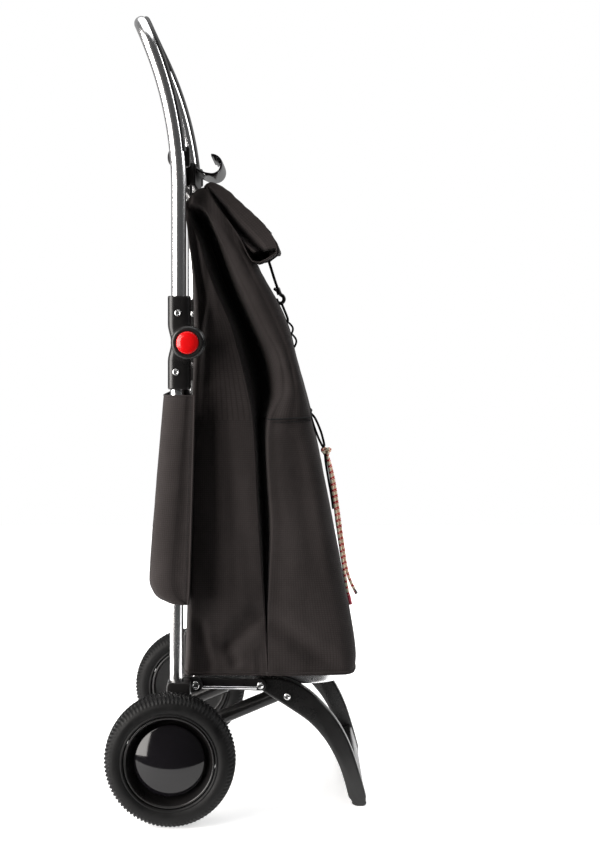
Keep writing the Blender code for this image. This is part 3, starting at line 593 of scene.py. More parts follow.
BOARD = plastic_material("board", (0.030, 0.030, 0.030), (0.05, 0.05, 0.05), 0.6)
NYLON = plastic_material("nylon", (0.55, 0.55, 0.52), (0.70, 0.69, 0.66), 0.45)
ALUMINIUM = metal_material("aluminium", (0.88, 0.88, 0.89), (0.70, 0.70, 0.71), 0.22)
STEEL = metal_material("zinc_steel", (0.82, 0.82, 0.82), (0.55, 0.55, 0.55), 0.20,
                       lines=(300.0, 300.0, 300.0))
TYRE = tyre_material()
ROPE = rope_material()
ROPE_END = cloth_material("rope_end", (0.55, 0.05, 0.09), (0.80, 0.22, 0.26), thread=0.0005)


# --------------------------------------------------------------------- the puller's cords
STRAND_LONG = [(0.1154, -0.0026, 0.4453), (0.1174, -0.0026, 0.4340), (0.1199, -0.0026, 0.4200),
               (0.1222, -0.0026, 0.4050), (0.1244, -0.0026, 0.3900), (0.1266, -0.0027, 0.3720),
               (0.1288, -0.0028, 0.3540), (0.1314, -0.0028, 0.3350), (0.1342, -0.0029, 0.3150),
               (0.1372, -0.0030, 0.2960), (0.1402, -0.0030, 0.2780), (0.1431, -0.0030, 0.2610),
               (0.1456, -0.0030, 0.2500), (0.1478, -0.0028, 0.2400)]
STRAND_SHORT = [(0.1158, 0.0024, 0.4453), (0.1192, 0.0024, 0.4340), (0.1228, 0.0023, 0.4200),
                (0.1256, 0.0022, 0.4050), (0.1280, 0.0022, 0.3900), (0.1304, 0.0022, 0.3720),
                (0.1328, 0.0022, 0.3540), (0.1355, 0.0022, 0.3350), (0.1382, 0.0023, 0.3150),
                (0.1409, 0.0024, 0.2960), (0.1445, 0.0025, 0.2800), (0.1486, 0.0026, 0.2690),
                (0.1526, 0.0027, 0.2610)]


def braid(gone, angle):
    """Raised strands of the braid."""
    phase, strands = 2 * math.pi * gone / ROPE_RADIUS, 5
    return 0.00010 * math.sin(phase + strands * angle) * math.sin(phase - strands * angle) - 0.00005


def puller():
    """Two hanging strands, their knot, the sealed end and the metal tip."""
    low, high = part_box("puller_knot")
    middle, half = (low + high) / 2, (high - low) / 2
    loops = []
    for i in range(61):
        t = 2 * math.pi * i / 60
        loops.append(middle + Vector((half.x * (math.sin(t) + 2 * math.sin(2 * t)) / 2.8,
                                      half.y * 0.68 * math.sin(3 * t),
                                      (half.z - 0.0008) * (math.cos(t) - 2 * math.cos(2 * t)) / 2.8)))
    knot = tube("puller_knot_cord", loops, ROPE_RADIUS, 20, ROPE, shape=braid, cap=False,
                up=Vector((0.2, 1, 0.1)))
    place(knot, "chassis", "puller_rope", "puller_knot")

    ends = {}
    for name, route, far_end in (("long", STRAND_LONG, "bare"), ("short", STRAND_SHORT, "fitting")):
        path = through(route, 330)
        body = tube(f"puller_cord_{name}", path, ROPE_RADIUS, 20, ROPE, shape=braid)
        place(body, "chassis", "puller_rope", f"puller_strand_{name}")
        ends[name] = (body, path, far_end)
    _, path, _ = ends["long"]
    seal = tube("puller_seal", path[-22:], ROPE_RADIUS * 1.06, 20, ROPE_END,
                shape=lambda u, a: 0.00006 * math.sin(u * 5000) * math.sin(4 * a))
    place(seal, "chassis", "puller_rope")
    tip_at, before = Vector(STRAND_SHORT[-1]), Vector(STRAND_SHORT[-2])
    along = (tip_at - before).normalized()
    tip = bar("puller_aglet", tip_at + along * 0.0003, tip_at + along * 0.0085, 0.0022, 0.0005,
              32, STEEL)
    place(tip, "chassis", "zinc_steel", "puller_tip")
    for name, (body, path, far_end) in ends.items():
        route_length(path)


puller()


# ----------------------------------------------------------------------------- wheels
TREAD_BLOCKS, TREAD_FROM, TREAD_HALF, TREAD_DEPTH, TREAD_SLANT = 96, 0.0735, 0.0205, 0.0017, 260


def tread(radius, y, angle):
    """Grooves between the tread blocks, slanted the same way on both shoulders."""
    if radius < TREAD_FROM or abs(y) > TREAD_HALF:
        return 0.0
    wave = math.sin(TREAD_BLOCKS * angle + TREAD_SLANT * abs(y))
    fade = step(radius, TREAD_FROM, TREAD_FROM + 0.0040)
    return -TREAD_DEPTH * fade * step(wave, -0.35, 0.25)


def wheel(label, side):
    """Tyre with tread and bead, dished rim and domed cap."""
    body = f"wheel_{label}"
    half = [(0.0575, 0.0150), (0.0577, 0.0182), (0.0584, 0.0196), (0.0596, 0.0203), (0.0606, 0.0199),
            (0.0614, 0.0196), (0.0640, 0.0212), (0.0675, 0.0219), (0.0705, 0.0217), (0.0730, 0.0209),
            (0.0741, 0.0203), (0.0748, 0.0202), (0.0768, 0.0192), (0.0786, 0.0176), (0.0801, 0.0156),
            (0.0813, 0.0131), (0.0820, 0.0104), (0.0824, 0.0070), (WHEEL_RADIUS, 0.0048)]
    groove = [(0.0806, 0.0044), (0.0806, 0.0030), (WHEEL_RADIUS, 0.0026), (WHEEL_RADIUS, 0.0)]
    outer = half + groove
    profile = outer + [(r, -y) for r, y in reversed(outer[:-1])]
    tyre = turned(f"tyre_tread_{label}", profile + [profile[0]], AXLE, side, WHEEL_Y,
                  TREAD_BLOCKS * 5, TYRE, 45, tread)
    place(tyre, body, "tyre_rubber", f"tyre_{label}")

    dish = [(0.0090, -0.0190), (0.0165, -0.0190), (0.0170, -0.0185), (0.0172, -0.0070),
            (0.0200, -0.0062), (0.0500, -0.0060), (0.0520, -0.0070), (0.0532, -0.0170),
            (0.0540, -0.0180), (0.0562, -0.0180), (RIM_RADIUS, -0.0172), (RIM_RADIUS, 0.0172),
            (0.0566, 0.0180), (0.0556, 0.0184), (0.0546, 0.0180), (0.0538, 0.0168),
            (0.0522, 0.0105), (0.0500, 0.0052), (0.0480, 0.0022), (0.0465, 0.0007), (0.0440, 0.0),
            (0.0172, 0.0), (0.0170, 0.0088), (0.0165, 0.0093), (0.0090, 0.0093)]
    rim = turned(f"rim_dish_{label}", dish + [dish[0]], AXLE, side, WHEEL_Y, 128, BLACK, 50)
    place(rim, body, "black_plastic", f"rim_{label}")

    rise, foot = 0.0112, 0.0093
    ball = (CAP_RADIUS ** 2 + rise ** 2) / (2 * rise)
    slant = math.asin(CAP_RADIUS / ball)
    dome = [(ball * math.sin(slant * t), foot + rise - ball * (1 - math.cos(slant * t)))
            for t in shares(24, 0)]
    dome[-1] = (CAP_RADIUS - 0.0005, foot + 0.0003)
    edge = [(CAP_RADIUS, foot - 0.0004), (CAP_RADIUS, 0.0020), (CAP_RADIUS - 0.0004, 0.0014),
            (0.0418, 0.0013), (0.0415, 0.0055), (0.0330, 0.0115), (0.0150, 0.0165), (0.0, 0.0172)]
    cap = turned(f"hub_dome_{label}", dome + edge, AXLE, side, WHEEL_Y, 128, GLOSS, 60)
    place(cap, body, "gloss_black", f"hub_cap_{label}")


# ------------------------------------------------------------------------- small metal
def rivet(name, centre, steps, side, offset=0.0):
    """Turned rivet from (y, radius) steps, its outer head hollow with a rolled rim."""
    profile = [(0.0, steps[0][0])]
    for (y, radius), (y_next, _) in zip(steps[:-1], steps[1:]):
        edge = 0.18 * min(abs(y_next - y), radius)
        profile += [(radius - edge, y), (radius, y + edge), (radius, y_next - edge),
                    (radius - edge, y_next)]
    y_end, radius = steps[-1][0], steps[-2][1]
    profile = profile[:-2] + [(radius, y_end - 0.0010), (radius * 0.93, y_end - 0.0004),
                              (radius * 0.72, y_end), (radius * 0.56, y_end - 0.0003),
                              (radius * 0.46, y_end - 0.0011), (radius * 0.20, y_end - 0.0012),
                              (0.0, y_end - 0.0008)]
    return turned(name, profile, centre, side, offset, 40, STEEL, 50)


def base_rivets(label, side):
    """Rivets at the three pivots of the folding base."""
    strip_in, strip_out = 0.0972, 0.0998
    for letter, centre, body, steps in (
            ("a", PIVOT_A, "base_frame", [(strip_in - 0.0017, 0.0045), (strip_in, 0.0030),
                                          (strip_out, 0.0055), (0.1194, 0.0030), (0.1358, 0.0052),
                                          (0.1377, 0.0)]),
            ("b", PIVOT_B, "base_frame", [(strip_in - 0.0017, 0.0045), (strip_in, 0.0030),
                                          (0.1265, 0.0045), (0.1282, 0.0)]),
            ("c", PIVOT_C, "leg_frame", [(0.0956, 0.0055), (0.0997, 0.0030), (0.1197, 0.0045),
                                         (0.1214, 0.0)])):
        piece = rivet(f"rolled_rivet_{letter}_{label}", centre, steps, side)
        place(piece, body, "zinc_steel", f"pivot_rivet_{letter}_{label}")


# -------------------------------------------------------------------------- fold joints
def sleeve(name, side, z_low, z_high, waist_at):
    """Rounded-square sleeve round a tube, waisted at the rear where the two halves meet."""
    rows, count = [], 64
    levels = [z_low, z_low + 0.0004, z_low + 0.0012, *[mix(z_low + 0.003, z_high - 0.003, i / 18)
                                                       for i in range(19)],
              z_high - 0.0012, z_high - 0.0004, z_high]
    for k, z in enumerate(levels):
        shrink = (0.0012, 0.0004, 0.0)[min(k, len(levels) - 1 - k, 2)]
        waist = 0.0042 * (1 - step(abs(z - waist_at), 0.0, 0.024))
        ring = []
        for i in range(count):
            a = 2 * math.pi * i / count
            c, s = squared(a, 0.58)
            x = c * (JOINT_HALF - shrink) + (waist * -c if c < 0 else 0.0)
            ring.append((JOINT_X + x, side * TUBE_Y + s * (JOINT_HALF - shrink), z))
        rows.append(ring)
    return grid(name, rows, caps=(True, True), mat=BLACK)


def disc(centre, radius, low, high, edge=0.0):
    """A round slab along Y with chamfered rims, to add or to cut away."""
    return turned("disc", [(0, low), (radius - edge, low), (radius, low + edge), (radius, high - edge),
                           (radius - edge, high), (0, high)], centre, mat=BLACK)


def tube_bore(x, y, low, high, radius):
    """The space that a side tube takes up in a plastic part."""
    return bar("bore", (x, y, low), (x, y, high), radius + 0.0003, 0.0001, 48)


def fold_joint(label, side):
    """Both halves of a fold joint with hub, ring, red button and rivets."""
    y = side * TUBE_Y

    def at(inner, outer):
        """A range along Y measured outward from the tube."""
        return tuple(sorted((y + side * inner, y + side * outer)))
    z_low, z_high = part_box(f"fold_joint_lower_{label}")[0].z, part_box(f"fold_joint_upper_{label}")[1].z
    hub, tongue, gap, clear, past = HUB_RADIUS, 0.0075, 0.0005, 0.0004, 0.03
    lower = sleeve(f"joint_socket_lower_{label}", side, z_low, HINGE[1] - gap, HINGE[1])
    fuse(lower, disc(HINGE, KNUCKLE_RADIUS, *at(-tongue, tongue), 0.0004))
    cut(lower, disc(HINGE, hub + clear, *at(-past, -tongue)), disc(HINGE, hub + clear, *at(tongue, past)),
        tube_bore(LOWER_TUBE_X, y, 0.5, 0.5823, LOWER_TUBE_RADIUS))
    soften(lower, 0.0006)
    place(lower, "chassis", "black_plastic", f"fold_joint_lower_{label}")

    upper = sleeve(f"joint_socket_upper_{label}", side, HINGE[1] + gap, z_high, HINGE[1])
    face = 0.0158
    ring = turned("ring", [(0, 0.0083), (hub, 0.0083), (hub, face), (hub - 0.0004, face + 0.0008),
                           (0.0190, face + 0.0026), (0.0181, face + 0.0030), (0.0166, face + 0.0029),
                           (0.0160, face + 0.0022), (0, face + 0.0022)], HINGE, side, TUBE_Y, 96, BLACK)
    fuse(upper, ring, disc(HINGE, hub, *at(-0.0165, -0.0083), 0.0012))
    cut(upper, disc(HINGE, KNUCKLE_RADIUS + clear, *at(-tongue - clear, tongue + clear)),
        disc(HINGE, BUTTON_RADIUS + 0.0003, *at(0.0096, past)),
        tube_bore(UPPER_TUBE_X, y, 0.6257, 0.7, UPPER_TUBE_RADIUS))
    soften(upper, 0.0005)
    place(upper, "handle", "black_plastic", f"fold_joint_upper_{label}")

    back = 0.0144
    knob = turned(f"release_button_{label}",
                  [(0, 0.0030), (0.0095, 0.0030), (0.0098, 0.0002), (0.0140, 0.0),
                   (BUTTON_RADIUS, 0.0005), (BUTTON_RADIUS, 0.0030), (0.0143, 0.0040),
                   (0.0136, 0.0049), (0.0124, 0.0055), (0.0108, 0.0058), (0.0100, 0.0062),
                   (0.0085, 0.0067), (0.0045, 0.0071), (0, 0.0072)], HINGE, side, TUBE_Y + back, 96, RED)
    place(knob, f"button_{label}", "red_plastic", f"button_{label}")
    half = JOINT_HALF + 0.0003
    for which, x, body in (("upper", UPPER_TUBE_X, "handle"), ("lower", LOWER_TUBE_X, "chassis")):
        low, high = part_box(f"joint_rivet_{which}_{label}")
        z = (low.z + high.z) / 2
        piece = rivet(f"tube_rivet_{which}_{label}", (x, z),
                      [(-half - 0.0014, 0.0042), (-half, 0.0022), (half, 0.0042),
                       (half + 0.0014, 0.0)], side, TUBE_Y)
        place(piece, body, "zinc_steel", f"joint_rivet_{which}_{label}")


# ------------------------------------------------------------------------ handle, bridge
def lean(z):
    """X of the side tubes' centreline at a height."""
    rise = max(0.0, z - BOW_BEND_Z)
    return UPPER_TUBE_X - BOW_BEND_RADIUS + math.sqrt(BOW_BEND_RADIUS ** 2 - rise ** 2)


def along_bow(length):
    """Point and forward normal of the side tube at a length above the bend."""
    a = max(0.0, length) / BOW_BEND_RADIUS
    x = UPPER_TUBE_X - BOW_BEND_RADIUS * (1 - math.cos(a))
    z = BOW_BEND_Z + BOW_BEND_RADIUS * math.sin(a) + min(0.0, length)
    return x, z, Vector((math.cos(a), 0, math.sin(a)))


def bow(start_z, side_steps=30, corner_steps=16):
    """Centreline of the bow from right to left as (point, forward normal)."""
    def length_at(z):
        return z - BOW_BEND_Z if z < BOW_BEND_Z else (
            BOW_BEND_RADIUS * math.asin((z - BOW_BEND_Z) / BOW_BEND_RADIUS))
    top, low = length_at(BOW_TOP_Z), length_at(start_z)
    half = [(mix(low, top - BOW_CORNER, t), TUBE_Y) for t in shares(side_steps, 0)]
    for t in shares(corner_steps):
        a = math.pi / 2 * t
        half.append((top - BOW_CORNER * (1 - math.sin(a)), TUBE_Y - BOW_CORNER * (1 - math.cos(a))))
    across = [(top, mix(half[-1][1], -half[-1][1], t)) for t in shares(12)[:-1]]
    whole = [(s, -y) for s, y in half] + [(s, -y) for s, y in across]
    whole += [(s, y) for s, y in reversed(half)]
    made = []
    for s, y in whole:
        x, z, normal = along_bow(s)
        made.append((Vector((x, y, z)), normal))
    return made


def sweep(name, route, section, mat, caps=True):
    """A (forward, sideways) section along the bow."""
    rows = []
    for i, (point, normal) in enumerate(route):
        before, after = route[max(0, i - 1)][0], route[min(len(route) - 1, i + 1)][0]
        side = normal.cross((after - before).normalized()).normalized()
        rows.append([point + normal * u + side * v for u, v in section])
    return grid(name, rows, caps=(caps, caps), mat=mat)


def bow_and_grip():
    """Polished bow with the rubber strip on its front."""
    circle = arc((0, 0), UPPER_TUBE_RADIUS, 0, 360, 40)[:-1]
    pipe = sweep("bow_tube", bow(BOW_START_Z), circle, ALUMINIUM, caps=False)
    place(smooth(thicken(pipe, TUBE_WALL), 60), "handle", "aluminium", "handle_tube")
    inner, outer = UPPER_TUBE_RADIUS + 0.0003, UPPER_TUBE_RADIUS + 0.0026
    crown = [(outer - 0.0020 * abs(t) ** 3, 38 * t) for t in [k / 8 - 1 for k in range(17)]]
    section = [(r * math.cos(math.radians(a)), r * math.sin(math.radians(a))) for r, a in crown]
    section += arc((0, 0), inner, 37, -37, 14)
    strip = sweep("grip_band", bow(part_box("bridge")[1].z - 0.014), section, GRIP)
    place(smooth(strip, 50), "handle", "grip_rubber", "grip_strip")


def bridge():
    """Moulded beam between the side tubes, hollowed in front, with clamps, pads and bumps."""
    low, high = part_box("bridge")
    x_low, x_high, clear = -0.0885, -0.0755, TUBE_Y - UPPER_TUBE_RADIUS - 0.0015

    def block(x_back, x_front, z_low, z_high, corner):
        return rounded_corners([(x_front, z_low), (x_front, z_high), (x_back, z_high),
                                (x_back, z_low)], corner)
    beam = plate("bridge_beam", block(x_low, x_high, low.z, high.z, 0.006), -clear, clear, 0.0020, BLACK)
    clamp = rounded_corners([(lean(low.z), low.z), (lean(high.z), high.z), (x_low, high.z),
                             (x_low, low.z)], 0.004)
    fuse(beam, plate("clamp", clamp, -TUBE_Y + 0.002, TUBE_Y - 0.002, 0.0020))
    for start, end, z_low, z_high, x_front in (
            (-0.062, 0.062, 0.8130, 0.8440, -0.0625),
            (-clear - 0.008, -clear + 0.003, 0.8300, 0.8560, -0.0648),
            (clear - 0.003, clear + 0.008, 0.8300, 0.8560, -0.0648)):
        pad = block(x_high - 0.004, x_front, z_low, z_high, 0.003)
        fuse(beam, plate("pad", pad, start, end, 0.0012))
    walls, half_rib = 0.0035, 0.001
    hollow = block(x_high - 0.006, x_high + 0.004, low.z + walls, high.z - walls, 0.002)
    for part in (0, 1, 4, 5):
        start, end = (mix(-clear + walls, clear - walls, (part + k) / 6) for k in (0, 1))
        cut(beam, plate("hollow", hollow, start + half_rib, end - half_rib, 0.001))
    past = 0.02
    for side in (-1, 1):
        heights = [mix(low.z - past, high.z + past, t) for t in shares(8, 0)]
        saddle = arc((0, 0), UPPER_TUBE_RADIUS + 0.0006, 0, 360, 48)[:-1]
        cut(beam, grid("saddle", [[(lean(z) + u, side * TUBE_Y + v, z) for u, v in saddle]
                                  for z in heights], caps=(True, True)))
        rows = []
        for share in shares(12)[:-1]:
            a = math.pi * share
            rows.append([(-0.0870 + 0.0082 * math.sin(a) * c, side * 0.120 - 0.0105 * math.cos(a),
                          0.8445 + 0.0125 * math.sin(a) * s) for c, s in arc((0, 0), 1, 0, 360, 32)[:-1]])
        fuse(beam, grid("bump", rows, caps=(True, True), mat=BLACK))
    soften(beam, 0.0005)
    place(beam, "handle", "black_plastic", "bridge")


def hook_and_hangers():
    """Broad curled hook with ribs inside its curl, and the two tapes that carry the bag."""
    centre, radius, half, half_rib = (-0.0415, 0.8420), 0.0130, 0.0022, 0.0590
    line = [(-0.0640, 0.8372), (-0.0580, 0.8338), (-0.0510, 0.8305), *arc(centre, radius, -100, 92, 30)]
    band = tube("hook_band", upright(line, 70), 0, 40, GLOSS, flat=(0.060, half))
    teeth = [bar("tooth", (x, -half_rib, z), (x, half_rib, z), 0.0012, 0.0004, 16, GLOSS)
             for x, z in arc(centre, radius - half, 20, 70, 2)]
    hook = smooth(join("carrier_hook", [band, *teeth]), 50)
    place(hook, "handle", "black_plastic", "trolley_hook")

    for label, _ in SIDES:
        low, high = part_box(f"bag_hanger_{label}")
        middle = (low + high) / 2
        route = [(middle.x, middle.y, mix(low.z, high.z, t)) for t in shares(8, 0)]
        tape = tube(f"hanger_tape_{label}", route, 0, 24, WEBBING, flat=((high.y - low.y) / 2, 0.0013))
        place(smooth(tape, 50), "handle", "webbing", f"bag_hanger_{label}")


# ---------------------------------------------------------------------------- lower frame
def lower_tube(label, side):
    """Lower tube in its boot, which carries the axle."""
    y = side * TUBE_Y
    low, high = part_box(f"lower_tube_{label}")
    pipe = bar(f"side_tube_{label}", (LOWER_TUBE_X, y, low.z), (LOWER_TUBE_X, y, high.z),
               LOWER_TUBE_RADIUS, 0.0004, 64, ALUMINIUM)
    place(pipe, "chassis", "aluminium", f"lower_tube_{label}")

    middle, half_x, top = -0.0783, 0.0151, 0.171
    around = arc(AXLE, 0.0185, 180, 340, 24)
    outline = rounded_corners([(middle + half_x, 0.110), (middle + half_x, top),
                               (middle - half_x, top), (middle - half_x, 0.105)], 0.004)
    outline = outline[:-6] + [(middle - half_x, 0.110)] + around
    boot = plate(f"axle_boot_{label}", evened(outline, 0.0025), y - 0.0125, y + 0.0125, 0.0020, BLACK)
    ear = plate("ear", evened([(-0.078, 0.150), *arc(PIVOT_A, 0.009, -70, 90, 24), (-0.078, top)],
                              0.0015), *both_ways(side, 0.1265, 0.1355), 0.0006, BLACK)
    fuse(boot, ear)
    cut(boot, tube_bore(LOWER_TUBE_X, y, 0.0998, 0.2, LOWER_TUBE_RADIUS),
        disc(AXLE, AXLE_HOLE, y - 0.03, y + 0.03),
        disc(PIVOT_A, 0.0033, *both_ways(side, TUBE_Y - 0.03, TUBE_Y + 0.01)))
    soften(boot, 0.0004)
    place(boot, "chassis", "black_plastic", f"axle_bracket_{label}")


def base_rail(label, side):
    """Side bar of the base with its bright edging."""
    outline = [*arc(PIVOT_A, 0.0068, 92, 268, 20), *arc(PIVOT_B, 0.0072, -92, 92, 20)]
    rail = plate(f"base_rail_{label}", outline, *both_ways(side, 0.1197, 0.1262), 0.0010, BLACK)
    place(rail, "base_frame", "black_plastic", f"base_bar_{label}")
    edging = bar(f"rail_edging_{label}", (PIVOT_A[0] + 0.0085, side * 0.1264, 0.1575),
                 (PIVOT_B[0] - 0.0050, side * 0.1264, 0.1562), 0.0020, 0.0003, 24, ALUMINIUM)
    place(edging, "base_frame", "aluminium")


def stand_leg(label, side):
    """Curved leg from pivot B down to its foot."""
    front = upright([(0.0500, 0.1665), (0.0686, 0.1611), (0.0891, 0.1493), (0.1099, 0.1297),
                     (0.1257, 0.1101), (0.1372, 0.0905), (0.1457, 0.0709), (0.1522, 0.0513),
                     (0.1580, 0.0317), (0.1633, 0.0121)], 44)
    back = upright([(0.1401, 0.0121), (0.1350, 0.0317), (0.1285, 0.0513), (0.1192, 0.0709),
                    (0.1066, 0.0905), (0.0883, 0.1101), (0.0598, 0.1297), (0.0349, 0.1454),
                    (0.0209, 0.1552)], 40)
    foot = rounded_corners([(0.1650, 0.0055), (0.1618, 0.0), (0.1500, 0.0), (0.1425, 0.0035)], 0.004)
    top_end = arc(PIVOT_B, 0.0072, 215, 95, 12)
    outline = [(p.x, p.z) for p in front] + foot + [(p.x, p.z) for p in back] + top_end
    limb = plate(f"stand_leg_{label}", evened(outline, 0.0030), *both_ways(side, 0.1000, 0.1194),
                 0.0030, LEG_BLACK, 5)
    place(limb, "leg_frame", "black_plastic", f"leg_{label}")


def brace(label, side):
    """Round brace from the axle to pivot C, with an eye at each end."""
    brace_y, radius = side * 0.0855, 0.0095
    rod = bar(f"brace_rod_{label}", (AXLE[0], brace_y, AXLE[1]), (PIVOT_C[0], brace_y, PIVOT_C[1]),
              radius - 0.0002, 0.0005, 48, BLACK)
    edges = (brace_y - radius, brace_y + radius)
    fuse(rod, disc(AXLE, 0.0105, *edges, 0.0010), disc(PIVOT_C, 0.0100, *edges, 0.0010))
    cut(rod, disc(AXLE, AXLE_HOLE, edges[0] - 0.01, edges[1] + 0.01))
    place(smooth(rod, 45), "brace_frame", "black_plastic", f"brace_{label}")


def hoop_and_foot():
    """Bright strip under the bag, and the cross bar between the feet."""
    low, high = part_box("base_hoop")
    half_height, reach, front, corner = (high.z - low.z) / 2, 0.0985, 0.141, 0.060
    plan = [(mix(low.x, front - corner, t), -reach) for t in shares(16, 0)]
    plan += [(x, y) for x, y in arc((front - corner, corner - reach), corner, -90, 0, 24)][1:]
    plan += [(front, mix(corner - reach, 0, t)) for t in shares(6)]
    plan += [(x, -y) for x, y in reversed(plan[:-1])]
    strip = tube("hoop_strip", [(x, y, (low.z + high.z) / 2) for x, y in plan], 0, 32, ALUMINIUM,
                 flat=(half_height, 0.001), up=Vector((0, 0, 1)))
    place(smooth(strip, 50), "base_frame", "aluminium", "base_hoop")
    outline = rounded_corners([(0.1606, 0.0), (0.1626, 0.0060), (0.1600, 0.0200), (0.1530, 0.0420),
                               (0.1500, 0.0450), (0.1370, 0.0400), (0.1370, 0.0310),
                               (0.1430, 0.0060), (0.1470, 0.0)], 0.003)
    foot = plate("foot_rail", outline, -0.0997, 0.0997, 0.0008, LEG_BLACK)
    place(foot, "leg_frame", "black_plastic", "foot_bar")


def frame_materials():
    """Pieces whose frame shape is already the finished one only get their finish."""
    finishes = {"axle": STEEL, "base_board": BOARD}
    for label, _ in SIDES:
        finishes.update({f"hinge_pin_{label}": STEEL, f"button_spring_{label}": STEEL,
                         f"wheel_bush_{label}": NYLON})
    for node, mat in finishes.items():
        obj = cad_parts[node]
        obj.data.materials.clear()
        obj.data.materials.append(mat)


for name, way in SIDES:
    wheel(name, way)
    base_rivets(name, way)
    fold_joint(name, way)
    lower_tube(name, way)
    base_rail(name, way)
    stand_leg(name, way)
    brace(name, way)
bow_and_grip()
bridge()
hook_and_hangers()
hoop_and_foot()
frame_materials()


# -------------------------------------------------------------------------------- bag
# Side view of the bag as smooth lines of (Z, X): its front and rear outline, the ridge of the
# rear corner, and the rear lip and front shoulder of the deep fold in each side panel.
BAG_FRONT = [(0.1725, 0.1500), (0.195, 0.1515), (0.232, 0.1468), (0.310, 0.1318), (0.390, 0.1170),
             (0.450, 0.1045), (0.504, 0.0918), (0.580, 0.0722), (0.620, 0.0627), (0.660, 0.0454),
             (0.700, 0.0228), (0.7151, 0.0160)]
BAG_REAR = [(0.1725, -0.0740), (0.250, -0.0712), (0.450, -0.0665), (0.600, -0.0622),
            (0.660, -0.0626), (0.695, -0.0646), (0.750, -0.0696), (0.7818, -0.0739)]
REAR_RIDGE = [(0.1725, -0.066), (0.250, -0.0615), (0.450, -0.058), (0.560, -0.052),
              (0.620, -0.047), (0.690, -0.0585), (0.755, -0.0700), (0.779, -0.0736)]
FOLD_LIP = [(0.1725, 0.0352), (0.257, 0.0293), (0.401, 0.0202), (0.464, 0.0176), (0.524, 0.0115),
            (0.618, -0.0115), (0.650, -0.0240), (0.680, -0.0375), (0.730, -0.0540), (0.755, -0.0635),
            (0.770, -0.0690),
            (0.779, -0.0727)]
FOLD_SHOULDER = [(0.1725, 0.0362), (0.247, 0.0362), (0.300, 0.0395), (0.366, 0.0425),
                 (0.460, 0.0370), (0.505, 0.0400), (0.540, 0.0560), (0.585, 0.0510), (0.620, 0.0330),
                 (0.674, 0.0060), (0.737, -0.0240), (0.775, -0.0441)]
FOLD_DEPTH = [(0.1725, 0.0008), (0.200, 0.0050), (0.250, 0.0150), (0.300, 0.0280), (0.400, 0.042),
              (0.500, 0.052), (0.580, 0.066), (0.700, 0.066), (0.764, 0.058), (0.773, 0.052),
              (0.779, 0.006), (0.810, 0.004)]
# Creases pressed into the side panels: (X, Z) of both ends, half width and depth.
CREASES = [((0.0283, 0.2473), (-0.0133, 0.2088), 0.0055, 0.0024),
           ((0.0240, 0.2560), (-0.0200, 0.2088), 0.0140, 0.0075),
           ((-0.0180, 0.2120), (-0.0060, 0.1850), 0.0080, 0.0055),
           ((-0.0549, 0.2400), (-0.0400, 0.1800), 0.0080, 0.0060),
           ((-0.0330, 0.2250), (-0.0230, 0.1760), 0.0060, 0.0026),
           ((0.0370, 0.2460), (0.1180, 0.1850), 0.0140, 0.0065),
           ((0.0230, 0.2050), (0.0240, 0.1740), 0.0022, 0.0034),
           ((0.0290, 0.2100), (0.0330, 0.1740), 0.0020, 0.0026),
           ((-0.0610, 0.7500), (-0.0480, 0.6600), 0.0045, 0.0060),
           ((-0.0480, 0.6600), (-0.0560, 0.5200), 0.0050, 0.0060),
           ((-0.0100, 0.4300), (0.0120, 0.2900), 0.0120, 0.0022),
           ((-0.0400, 0.5600), (-0.0300, 0.3300), 0.0090, 0.0016),
           ((-0.0150, 0.5000), (-0.0060, 0.2700), 0.0080, 0.0018),
           ((-0.0440, 0.6900), (-0.0330, 0.6100), 0.0050, 0.0030),
           ((0.0600, 0.5650), (0.0450, 0.5100), 0.0100, 0.0030),
           ((0.0700, 0.4600), (0.1000, 0.3000), 0.0120, 0.0014)]
BAG_TOP = 0.7515              # mean height of the mouth
SLANT_FROM = 0.585            # above this the rows tilt towards the slanted mouth


def row_height(level, share):
    """Z of a row at a share of the way from the bag's rear to its front."""
    flat = mix(BAG_BOTTOM, BAG_TOP, level)
    if share < 0.30:
        top = mix(0.7818, 0.8045, math.sin(share / 0.30 * math.pi / 2))
    else:
        top = mix(0.8045, 0.7151, (share - 0.30) / 0.70)
    tilt = 0.0022 * step(share, 0.55, 1.0) * math.exp(-((flat - POCKET_TOP) / 0.04) ** 2)
    return mix(flat, top, step(flat, SLANT_FROM, BAG_TOP)) + tilt


def crease(x, z):
    total = 0.0
    for (x0, z0), (x1, z1), width, depth in CREASES:
        dx, dz = x1 - x0, z1 - z0
        t = ((x - x0) * dx + (z - z0) * dz) / (dx * dx + dz * dz)
        fade = step(t, -0.25, 0.15) * (1 - step(t, 0.85, 1.25))
        off = ((x - x0) * dz - (z - z0) * dx) / math.hypot(dx, dz)
        total += depth * fade * math.exp(-(off / width) ** 2)
    return total


def crumple(x, y, z):
    """Slow waves of slack cloth, with small crumples towards the bottom and the mouth."""
    slow = noise.noise(Vector((x * 24, y * 16, z * 5)))
    small = noise.noise(Vector((x * 52 + 7, y * 45, z * 22)))
    tiny = noise.noise(Vector((x * 120, y * 120 + 3, z * 80)))
    ends = 0.25 + 0.75 * max(1 - step(z, 0.18, 0.27), step(z, 0.66, 0.76))
    return 0.0030 * slow + 0.0016 * small * ends + 0.00035 * tiny


